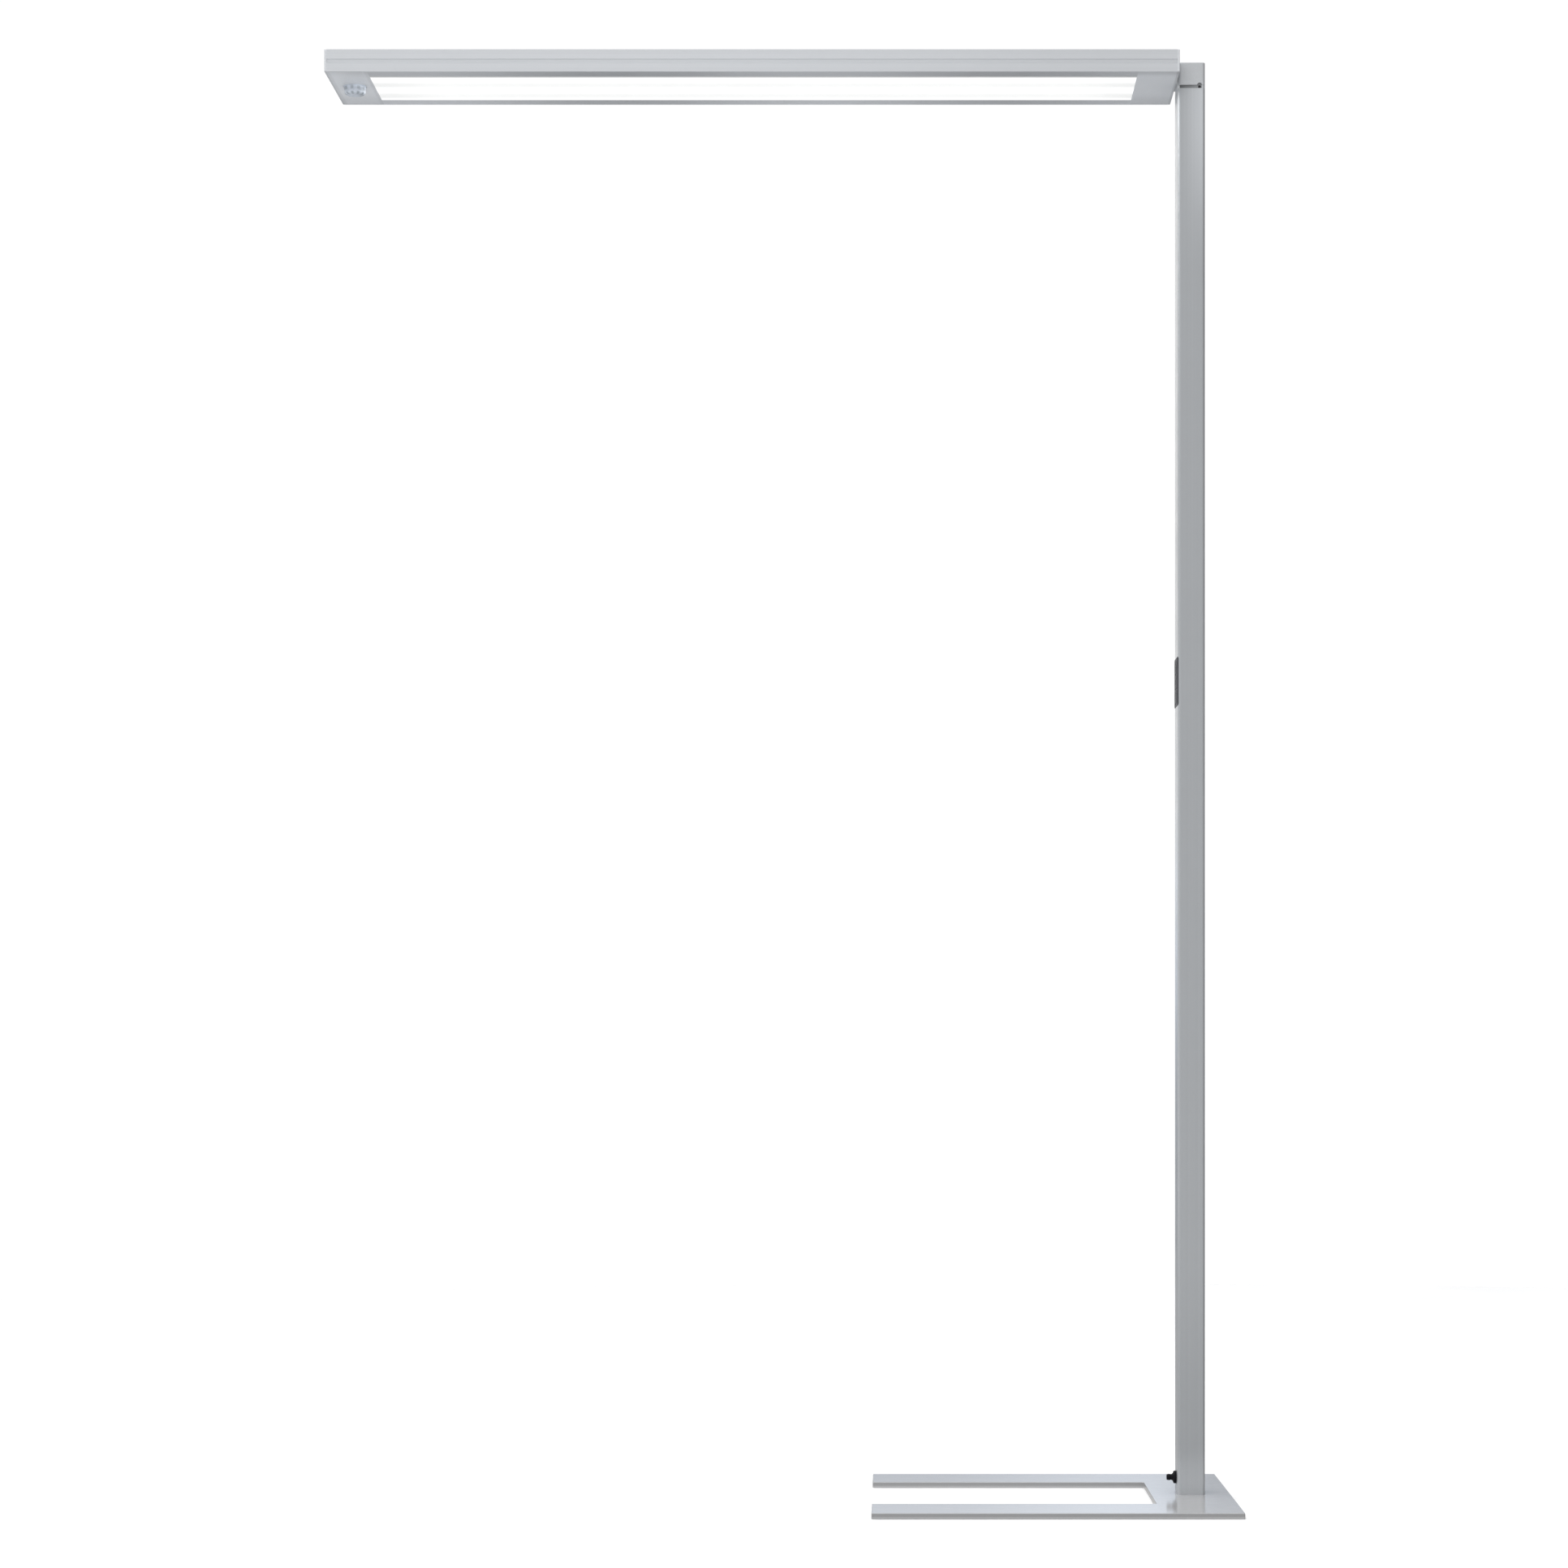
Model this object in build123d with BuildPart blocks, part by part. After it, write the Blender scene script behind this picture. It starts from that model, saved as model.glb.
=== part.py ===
from build123d import *
import math
import os

os.makedirs("parts", exist_ok=True)

# Office floor lamp with a one-sided head on a swivel.
# Millimetres, +Z up. The origin is on the floor, on the mast's vertical axis.
# The head reaches along -X; +X is the short side of the base.

# ---------------------------------------------------------------- dimensions
# base plate, a U open towards -X
BASE_LEFT, BASE_RIGHT = -432.3, 53.5
BASE_HALF = 237.0
SLOT_END = -54.2
SLOT_HALF = 129.0
PLATE_BOTTOM, PLATE_TOP = 0.5, 8.0
PAD_RECESS = 0.8
GLIDE_R = 14.0
GLIDES = [(-408, 183), (-408, -183), (-160, 183), (-160, -183), (26, 208), (26, -208)]

# mast, a rectangular aluminium tube
MAST_X, MAST_Y = 37.0, 54.0
MAST_CORNER = 4.5
WALL = 2.4
MAST_TOP = 1912.8
IN_X, IN_Y = MAST_X / 2 - WALL, MAST_Y / 2 - WALL
SLIP = 0.1

# foot block inside the mast's lower end
FOOT_TOP = 76.0
FOOT_SCREWS = [(9.5, 18), (-9.5, 18), (9.5, -18), (-9.5, -18)]
LOCK_Z = (44.0, 64.0)

# cord gland in the mast's left face
GLAND_Z = 29.5
GLAND_BORE = 3.1

# control strip in the mast's left face
KEYS_Z = 1110.3
KEY_PITCH = 20.0
KEY_W, KEY_H = 34.0, 18.0
KEY_TRAVEL = 0.8

# swivel
BUSH_BORE = 7.05
PIVOT_R = 7.0
PIVOT_BORE = 4.25
BLOCK_BOTTOM = 1866.2
TOP_SCREW_Z = (1880.0, 1902.0)
BUSH_FLANGE, WASHER = 2.2, 2.15
CAP_BOTTOM = 1917.2
SPACER_TOP, UPSTAND_TOP = 1916.9, 1916.5
WINDOW_X0, WINDOW_X1, WINDOW_DEEP = -16.0, 13.8, 2.6
SPACER_SCREW_X, SPACER_SCREW_Z = 10.9, 1914.85
STOP_R, STOP_PIN_R = 12.0, 2.0
SWING = 91.0

# head
HEAD_LEFT, HEAD_RIGHT = -1165.2, -20.4
HEAD_HALF = 88.5
HEAD_BOTTOM, HEAD_TOP = 1919.0, 1949.0
SKIN = 2.4
HEAD_IN = HEAD_HALF - SKIN
LIP = 2.0
EDGE_R = 0.9
END_WALL = 3.0
PANEL_LEFT, PANEL_RIGHT = -1108.0, -76.0
PANEL_HALF = 63.0
CAP_TOP = 1947.6
LID = 3.0
BAR_BOTTOM, BAR_TOP = 1934.3, 1944.3
BAR_HALF = 20.0
SENSOR_X, SENSOR_Y = -1134.7, -10.5

PARTS = []


def keep(builder, name):
    """Label one finished piece and write it."""
    builder.part.label = name
    PARTS.append(name)
    export_step(builder.part, f"parts/{name}.step")


# ---------------------------------------------------------------- fasteners
def countersunk(r, head_r, length, socket):
    """Countersunk screw: flat of the head at z = 0, shank up to z = length."""
    with BuildPart() as screw:
        with BuildSketch(Plane.XZ):
            with BuildLine():
                Polyline(
                    (0, 0),
                    (head_r, 0),
                    (head_r, 0.25),
                    (r, head_r - r + 0.25),
                    (r, length - 0.6),
                    (r - 0.6, length),
                    (0, length),
                    (0, 0),
                )
            make_face()
        revolve(axis=Axis.Z)
        with BuildSketch(Plane.XY):
            RegularPolygon(radius=socket, side_count=6)
        extrude(amount=head_r - r, mode=Mode.SUBTRACT)
    return screw.part


def pan_head(r, head_r, head_h, length, socket):
    """Pan-head screw: under-side of the head at z = 0, shank up to z = length, head below."""
    with BuildPart() as screw:
        with BuildSketch(Plane.XZ):
            with BuildLine():
                Polyline(
                    (0, -head_h),
                    (head_r - 0.5, -head_h),
                    (head_r, -head_h + 0.5),
                    (head_r, 0),
                    (r, 0),
                    (r, length - 0.5),
                    (r - 0.5, length),
                    (0, length),
                    (0, -head_h),
                )
            make_face()
        revolve(axis=Axis.Z)
        with BuildSketch(Plane.XY.offset(-head_h)):
            RegularPolygon(radius=socket, side_count=6)
        extrude(amount=head_h * 0.6, mode=Mode.SUBTRACT)
    return screw.part


M6_FOOT = countersunk(3.0, 6.0, 28.0, 2.3)
M5_SIDE = countersunk(2.5, 5.0, 14.0, 1.7)
M6_ARM = countersunk(3.0, 6.0, 18.0, 2.3)
M5_BRIDGE = countersunk(2.5, 5.0, 12.0, 1.7)
M4_BRIDGE = countersunk(2.0, 4.0, 8.0, 1.4)
M4_END = countersunk(2.0, 4.0, 16.0, 1.4)
M4_PAN = pan_head(2.0, 3.8, 2.4, 9.0, 1.4)
M3_GRIP = pan_head(1.5, 2.8, 1.8, 14.0, 1.1)
M3_TRAY = pan_head(1.5, 2.8, 1.8, 4.4, 1.1)
M2_SPACER = pan_head(1.25, 1.9, 1.4, 10.0, 0.9)


# ---------------------------------------------------------------- base
with BuildPart() as base_plate:
    with BuildSketch(Plane.XY.offset(PLATE_BOTTOM)) as outline:
        with Locations(((BASE_LEFT + BASE_RIGHT) / 2, 0)):
            Rectangle(BASE_RIGHT - BASE_LEFT, 2 * BASE_HALF)
        with Locations(((BASE_LEFT + SLOT_END) / 2 - 5, 0)):
            Rectangle(SLOT_END - BASE_LEFT + 10, 2 * SLOT_HALF, mode=Mode.SUBTRACT)
        fillet(outline.vertices(), radius=1.5)
    extrude(amount=PLATE_TOP - PLATE_BOTTOM)
    fillet(base_plate.edges().group_by(Axis.Z)[-1], radius=0.7)
    # recess under the mast for the pad that covers the screws
    with BuildSketch(Plane.XY.offset(PLATE_BOTTOM)):
        RectangleRounded(60, 68, 6)
    extrude(amount=PAD_RECESS, mode=Mode.SUBTRACT)
    # round recesses for the glides
    with BuildSketch(Plane.XY.offset(PLATE_BOTTOM)):
        with Locations(*GLIDES):
            Circle(GLIDE_R)
    extrude(amount=1.5, mode=Mode.SUBTRACT)
    # clearance holes for the foot screws
    with BuildSketch(Plane.XY.offset(PLATE_BOTTOM)):
        with Locations(*FOOT_SCREWS):
            Circle(3.2)
    extrude(amount=PLATE_TOP - PLATE_BOTTOM, mode=Mode.SUBTRACT)
    # countersinks, widest at the recess floor
    for sx, sy in FOOT_SCREWS:
        with BuildSketch(Plane(origin=(sx, sy, PLATE_BOTTOM + PAD_RECESS), x_dir=(1, 0, 0), z_dir=(0, -1, 0))):
            with BuildLine():
                Polyline((0, 0), (6.0, 0), (6.0, 0.25), (3.2, 3.05), (0, 3.05), (0, 0))
            make_face()
        revolve(axis=Axis((sx, sy, 0), (0, 0, 1)), mode=Mode.SUBTRACT)
keep(base_plate, "base_plate")

with BuildPart() as centre_pad:
    with BuildSketch():
        RectangleRounded(60, 68, 6)
    extrude(amount=PLATE_BOTTOM + PAD_RECESS)
keep(centre_pad, "centre_pad")

with BuildPart() as glide_pads:
    with BuildSketch():
        with Locations(*GLIDES):
            Circle(GLIDE_R)
    extrude(amount=PLATE_BOTTOM + 1.5)
    chamfer(glide_pads.edges().group_by(Axis.Z)[0], length=0.5)
keep(glide_pads, "glide_pads")

with BuildPart() as foot_screws:
    with Locations(*[(sx, sy, PLATE_BOTTOM + PAD_RECESS) for sx, sy in FOOT_SCREWS]):
        add(M6_FOOT)
keep(foot_screws, "foot_screws")


# ---------------------------------------------------------------- mast
with BuildPart() as mast_tube:
    with BuildSketch(Plane.XY.offset(PLATE_TOP)):
        RectangleRounded(MAST_X, MAST_Y, MAST_CORNER)
        RectangleRounded(2 * IN_X, 2 * IN_Y, MAST_CORNER - WALL, mode=Mode.SUBTRACT)
    extrude(amount=MAST_TOP - PLATE_TOP)
    # opening for the control strip, left wall only
    with BuildSketch(Plane.YZ.offset(-MAST_X / 2 - 1)):
        with Locations((0, KEYS_Z)):
            RectangleRounded(41.2, 64.8, 2.0)
    extrude(amount=WALL + 2, mode=Mode.SUBTRACT)
    # hole for the cord gland, left wall only
    with BuildSketch(Plane.YZ.offset(-MAST_X / 2 - 1)):
        with Locations((0, GLAND_Z)):
            Circle(6.1)
    extrude(amount=WALL + 2, mode=Mode.SUBTRACT)
    # countersunk holes for the screws in the rear wall
    for z in LOCK_Z + TOP_SCREW_Z:
        with BuildSketch(Plane(origin=(0, MAST_Y / 2, z), x_dir=(1, 0, 0), z_dir=(0, 0, 1))):
            with BuildLine():
                Polyline((0, 0.5), (5.0, 0.5), (5.0, -0.25), (2.75, -2.5), (2.75, -3.2), (0, -3.2), (0, 0.5))
            make_face()
        revolve(axis=Axis((0, 0, z), (0, 1, 0)), mode=Mode.SUBTRACT)
keep(mast_tube, "mast_tube")

with BuildPart() as foot_block:
    with BuildSketch(Plane.XY.offset(PLATE_TOP)):
        RectangleRounded(2 * (IN_X - SLIP), 2 * (IN_Y - SLIP), 2.0)
        # upright channel for the cord, open to the left
        with Locations((-IN_X / 2 - 4 + 5, 0)):
            Rectangle(IN_X + 8 - 3.2, 20, mode=Mode.SUBTRACT)
    extrude(amount=FOOT_TOP - PLATE_TOP)
    with BuildSketch(Plane.XY.offset(PLATE_TOP)):
        with Locations(*FOOT_SCREWS):
            Circle(3.0)
    extrude(amount=24, mode=Mode.SUBTRACT)
    for z in LOCK_Z:
        with BuildSketch(Plane(origin=(0, 30, z), x_dir=(1, 0, 0), z_dir=(0, -1, 0))):
            Circle(2.5)
        extrude(amount=30 - 12, mode=Mode.SUBTRACT)
        with BuildSketch(Plane(origin=(0, 30, z), x_dir=(1, 0, 0), z_dir=(0, -1, 0))):
            Circle(3.0)
        extrude(amount=30 - 24, mode=Mode.SUBTRACT)
    with BuildSketch(Plane.XY.offset(FOOT_TOP)):
        with Locations((6.2, 15), (6.2, -15)):
            Circle(2.0)
        with Locations((-6, 14), (-6, -14)):
            Circle(1.5)
    extrude(amount=-9.6, mode=Mode.SUBTRACT)
keep(foot_block, "foot_block")

with BuildPart() as mast_lock_screws:
    with Locations(*[Location((0, MAST_Y / 2, z), (90, 0, 0)) for z in LOCK_Z]):
        add(M5_SIDE)
keep(mast_lock_screws, "mast_lock_screws")

# cord gland: threaded barrel inside, flared flange, waist and rounded nipple outside, one bore
with BuildPart() as cord_gland:
    with BuildSketch(Plane(origin=(0, 0, GLAND_Z), x_dir=(1, 0, 0), z_dir=(0, -1, 0))):
        with BuildLine():
            Polyline((-9.5, GLAND_BORE), (-9.5, 6.0), (-18.5, 6.0), (-18.5, 8.7), (-20.9, 8.7))
            ThreePointArc((-20.9, 8.7), (-22.3, 8.2), (-22.9, 7.0))
            ThreePointArc((-22.9, 7.0), (-23.9, 5.0), (-26.3, 3.8))
            ThreePointArc((-26.3, 3.8), (-29.2, 4.3), (-31.8, 3.4))
            Polyline((-31.8, 3.4), (-31.8, GLAND_BORE), (-9.5, GLAND_BORE))
        make_face()
    revolve(axis=Axis((0, 0, GLAND_Z), (1, 0, 0)))
keep(cord_gland, "cord_gland")

with BuildPart() as gland_nut:
    with BuildSketch(Plane.YZ.offset(-IN_X)):
        with Locations((0, GLAND_Z)):
            RegularPolygon(radius=9.7, side_count=6)
            Circle(6.0, mode=Mode.SUBTRACT)
    extrude(amount=3.0)
keep(gland_nut, "gland_nut")

with BuildPart() as cord_grip:
    with BuildSketch(Plane.XY.offset(FOOT_TOP)):
        with Locations((-6.5, 0)):
            RectangleRounded(16, 38, 2)
        with Locations((-6, 0)):
            Circle(3.3, mode=Mode.SUBTRACT)
        with Locations((-6, 14), (-6, -14)):
            Circle(1.7, mode=Mode.SUBTRACT)
    extrude(amount=6)
keep(cord_grip, "cord_grip")

with BuildPart() as cord_grip_screws:
    with Locations(*[Location((-6, y, FOOT_TOP + 6), (180, 0, 0)) for y in (14, -14)]):
        add(M3_GRIP)
keep(cord_grip_screws, "cord_grip_screws")

# ---------------------------------------------------------------- electrics in the mast
with BuildPart() as driver_carrier:
    with BuildSketch(Plane.XY.offset(FOOT_TOP)):
        with Locations((7, 0)):
            Rectangle(10, 40)
        with Locations((6.2, 15), (6.2, -15)):
            Circle(2.1, mode=Mode.SUBTRACT)
    extrude(amount=1.5)
    with BuildSketch(Plane.XY.offset(FOOT_TOP)):
        with Locations((11.25, 0)):
            Rectangle(1.5, 40)
    extrude(amount=374)
keep(driver_carrier, "driver_carrier")

with BuildPart() as carrier_screws:
    with Locations(*[Location((6.2, y, FOOT_TOP + 1.5), (180, 0, 0)) for y in (15, -15)]):
        add(M4_PAN)
keep(carrier_screws, "carrier_screws")

with BuildPart() as mains_terminal:
    with BuildSketch(Plane.XY.offset(92)):
        with Locations((2.25, 0)):
            Rectangle(16.5, 32)
    extrude(amount=20)
    chamfer(mains_terminal.faces().sort_by(Axis.X)[0].edges(), length=1.2)
    with BuildSketch(Plane.YZ.offset(-6)):
        with Locations((0, 102)):
            with GridLocations(10, 0, 3, 1):
                Circle(2.2)
    extrude(amount=4, mode=Mode.SUBTRACT)
keep(mains_terminal, "mains_terminal")

with BuildPart() as led_driver:
    with BuildSketch(Plane.XY.offset(130)):
        RectangleRounded(21, 30, 2)
    extrude(amount=300)
    # wiring mouths at both ends
    with BuildSketch(Plane.XY.offset(130)):
        with Locations((-4, 0)):
            Rectangle(7, 18)
    extrude(amount=6, mode=Mode.SUBTRACT)
keep(led_driver, "led_driver")

with BuildPart() as mast_lead:
    with BuildSketch(Plane.XY.offset(430)):
        Circle(2.5)
    extrude(amount=1927.9 - 430)
keep(mast_lead, "mast_lead")

with BuildPart() as control_lead:
    with BuildSketch(Plane.XY.offset(430)):
        with Locations((-4.2, 12)):
            Circle(1.3)
    extrude(amount=1100 - 430)
keep(control_lead, "control_lead")

# ---------------------------------------------------------------- control strip
BEZEL_X, KEY_X = -19.1, -19.6
BEZEL_HALF, BEZEL_HEIGHT = 25.6, 66.0
KEY_ROWS = {"key_power": KEYS_Z + KEY_PITCH, "key_brighter": KEYS_Z, "key_dimmer": KEYS_Z - KEY_PITCH}

with BuildPart() as control_housing:
    # bezel that lies on the mast's face and wraps its rounded corners
    with BuildSketch(Plane.YZ.offset(BEZEL_X)):
        with Locations((0, KEYS_Z)):
            RectangleRounded(2 * BEZEL_HALF, BEZEL_HEIGHT, 3)
    extrude(amount=3.0)
    fillet(control_housing.faces().sort_by(Axis.X)[0].edges(), radius=0.5)
    with BuildSketch(Plane.XY.offset(KEYS_Z - 40)):
        RectangleRounded(MAST_X, MAST_Y, MAST_CORNER - 0.1)
    extrude(amount=80, mode=Mode.SUBTRACT)
    # body through the mast's wall
    with BuildSketch(Plane.YZ.offset(-MAST_X / 2)):
        with Locations((0, KEYS_Z)):
            RectangleRounded(40.8, 64.4, 1.8)
    extrude(amount=12.4)
    # hollow behind the front wall
    with BuildSketch(Plane.YZ.offset(-17.0)):
        with Locations((0, KEYS_Z)):
            RectangleRounded(38.4, 62.4, 1.0)
    extrude(amount=12, mode=Mode.SUBTRACT)
    # key windows
    with BuildSketch(Plane.YZ.offset(BEZEL_X - 1)):
        with Locations(*[(0, z) for z in KEY_ROWS.values()]):
            RectangleRounded(KEY_W + 0.6, KEY_H + 0.6, 2.3)
    extrude(amount=4, mode=Mode.SUBTRACT)
    # snap barbs behind the mast's wall, top and bottom
    with BuildSketch(Plane(origin=(0, -6, KEYS_Z), x_dir=(1, 0, 0), z_dir=(0, -1, 0))):
        with BuildLine():
            Polyline((-16.0, 32.0), (-16.0, 33.2), (-13.0, 32.2), (-13.0, 32.0), (-16.0, 32.0))
        make_face()
        with BuildLine():
            Polyline((-16.0, -32.0), (-16.0, -33.2), (-13.0, -32.2), (-13.0, -32.0), (-16.0, -32.0))
        make_face()
    extrude(amount=-12)
keep(control_housing, "control_housing")

for key_name, key_z in KEY_ROWS.items():
    with BuildPart() as key:
        with BuildSketch(Plane.YZ.offset(KEY_X)):
            with Locations((0, key_z)):
                RectangleRounded(KEY_W, KEY_H, 2.0)
        extrude(amount=-16.95 - KEY_X)
        fillet(key.faces().sort_by(Axis.X)[0].edges(), radius=0.5)
        # shallow finger dish
        with BuildSketch(Plane.YZ.offset(KEY_X)):
            with Locations((0, key_z)):
                RectangleRounded(KEY_W - 10, KEY_H - 8, 3.0)
        extrude(amount=0.25, mode=Mode.SUBTRACT)
        # rim that keeps the key in its window
        with BuildSketch(Plane.YZ.offset(-16.95)):
            with Locations((0, key_z)):
                Rectangle(36.8, 19.4)
        extrude(amount=1.0)
        # plunger over the switch
        with BuildSketch(Plane.YZ.offset(-15.95)):
            with Locations((0, key_z)):
                Circle(2.0)
        extrude(amount=1.45)
    keep(key, key_name)

with BuildPart() as tact_switches:
    with BuildSketch(Plane.YZ.offset(-13.0)):
        with Locations(*[(0, z) for z in KEY_ROWS.values()]):
            Rectangle(6, 6)
    extrude(amount=3.5)
    with BuildSketch(Plane.YZ.offset(-13.65)):
        with Locations(*[(0, z) for z in KEY_ROWS.values()]):
            Circle(1.75)
    extrude(amount=0.65)
keep(tact_switches, "tact_switches")

with BuildPart() as control_board:
    with BuildSketch(Plane.YZ.offset(-9.5)):
        with Locations((0, KEYS_Z)):
            RectangleRounded(38.2, 62.2, 1.0)
    extrude(amount=1.6)
keep(control_board, "control_board")

with BuildPart() as control_back:
    with BuildSketch(Plane.YZ.offset(-7.9)):
        with Locations((0, KEYS_Z)):
            RectangleRounded(38.2, 62.2, 1.0)
    extrude(amount=1.8)
keep(control_back, "control_back")

# ---------------------------------------------------------------- swivel, mast side
with BuildPart() as top_bearing_block:
    with BuildSketch(Plane.XY.offset(BLOCK_BOTTOM)):
        RectangleRounded(2 * (IN_X - SLIP), 2 * (IN_Y - SLIP), 2.0)
        Circle(8.0, mode=Mode.SUBTRACT)
    extrude(amount=MAST_TOP - BLOCK_BOTTOM)
    # upstand that the spacer sits around, clear of the bush's flange
    with BuildSketch(Plane.XY.offset(MAST_TOP)):
        RectangleRounded(30, 38, 2)
        Circle(9.4, mode=Mode.SUBTRACT)
    extrude(amount=UPSTAND_TOP - MAST_TOP)
    with BuildSketch(Plane.XY.offset(UPSTAND_TOP)):
        with Locations((STOP_R, 0)):
            Circle(STOP_PIN_R)
    extrude(amount=MAST_TOP - 12 - UPSTAND_TOP, mode=Mode.SUBTRACT)
    with BuildSketch(Plane(origin=(SPACER_SCREW_X, -20, SPACER_SCREW_Z), x_dir=(1, 0, 0), z_dir=(0, 1, 0))):
        Circle(1.25)
    extrude(amount=20 - 14.2, mode=Mode.SUBTRACT)
    for z in TOP_SCREW_Z:
        with BuildSketch(Plane(origin=(0, 30, z), x_dir=(1, 0, 0), z_dir=(0, -1, 0))):
            Circle(2.5)
        extrude(amount=30 - 12, mode=Mode.SUBTRACT)
        with BuildSketch(Plane(origin=(0, 30, z), x_dir=(1, 0, 0), z_dir=(0, -1, 0))):
            Circle(3.0)
        extrude(amount=30 - 24, mode=Mode.SUBTRACT)
keep(top_bearing_block, "top_bearing_block")

with BuildPart() as top_block_screws:
    with Locations(*[Location((0, MAST_Y / 2, z), (90, 0, 0)) for z in TOP_SCREW_Z]):
        add(M5_SIDE)
keep(top_block_screws, "top_block_screws")

# spacer between the mast and the turning cap, flush with both, with a shallow window at the front
with BuildPart() as swivel_spacer:
    with BuildSketch(Plane.XY.offset(MAST_TOP)):
        RectangleRounded(MAST_X, MAST_Y, MAST_CORNER)
        RectangleRounded(30.2, 38.2, 2.1, mode=Mode.SUBTRACT)
        with Locations(((WINDOW_X0 + WINDOW_X1) / 2, -MAST_Y / 2)):
            Rectangle(WINDOW_X1 - WINDOW_X0, 2 * WINDOW_DEEP, mode=Mode.SUBTRACT)
    extrude(amount=SPACER_TOP - MAST_TOP)
    with BuildSketch(Plane(origin=(SPACER_SCREW_X, -30, SPACER_SCREW_Z), x_dir=(1, 0, 0), z_dir=(0, 1, 0))):
        Circle(1.25)
    extrude(amount=15, mode=Mode.SUBTRACT)
keep(swivel_spacer, "swivel_spacer")

with BuildPart() as spacer_screw:
    with Locations(Location((SPACER_SCREW_X, -MAST_Y / 2 + WINDOW_DEEP, SPACER_SCREW_Z), (-90, 0, 0))):
        add(M2_SPACER)
keep(spacer_screw, "spacer_screw")

with BuildPart() as swivel_bush:
    with BuildSketch(Plane.XY.offset(BLOCK_BOTTOM)):
        Circle(8.0)
    extrude(amount=MAST_TOP - BLOCK_BOTTOM)
    with BuildSketch(Plane.XY.offset(MAST_TOP)):
        Circle(9.2)
    extrude(amount=BUSH_FLANGE)
    with BuildSketch(Plane.XY.offset(BLOCK_BOTTOM)):
        Circle(BUSH_BORE)
    extrude(amount=60, mode=Mode.SUBTRACT)
keep(swivel_bush, "swivel_bush")

with BuildPart() as friction_washer:
    with BuildSketch(Plane.XY.offset(MAST_TOP + BUSH_FLANGE)):
        Circle(9.2)
        Circle(7.1, mode=Mode.SUBTRACT)
    extrude(amount=WASHER)
keep(friction_washer, "friction_washer")

with BuildPart() as stop_pin:
    with BuildSketch(Plane.XY.offset(MAST_TOP - 12)):
        with Locations((STOP_R, 0)):
            Circle(STOP_PIN_R)
    extrude(amount=12 + 8.2)
    chamfer(stop_pin.edges().group_by(Axis.Z)[-1], length=0.4)
keep(stop_pin, "stop_pin")

with BuildPart() as thrust_washer:
    with BuildSketch(Plane.XY.offset(BLOCK_BOTTOM - 3)):
        Circle(12.5)
        Circle(7.1, mode=Mode.SUBTRACT)
    extrude(amount=3)
keep(thrust_washer, "thrust_washer")

# ---------------------------------------------------------------- swivel, head side
FLOOR_TOP = 1931.3
ARM_SCREWS = [(7, 13.5), (-7, 13.5), (7, -13.5), (-7, -13.5)]

with BuildPart() as pivot_tube:
    with BuildSketch(Plane.XY.offset(1848)):
        Circle(PIVOT_R)
    extrude(amount=FLOOR_TOP - 1848)
    with BuildSketch(Plane.XY.offset(FLOOR_TOP)):
        RectangleRounded(22, 36, 3)
        with Locations(*ARM_SCREWS):
            Circle(3.0, mode=Mode.SUBTRACT)
    extrude(amount=BAR_BOTTOM - FLOOR_TOP)
    with BuildSketch(Plane.XY.offset(1848)):
        Circle(PIVOT_BORE)
    extrude(amount=100, mode=Mode.SUBTRACT)
keep(pivot_tube, "pivot_tube")

with BuildPart() as pivot_nuts:
    for z in (BLOCK_BOTTOM - 3.05 - 6.0, BLOCK_BOTTOM - 3.05 - 12.2):
        with BuildSketch(Plane.XY.offset(z)):
            RegularPolygon(radius=12.6, side_count=6)
            Circle(PIVOT_R, mode=Mode.SUBTRACT)
        extrude(amount=6.0)
keep(pivot_nuts, "pivot_nuts")

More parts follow.
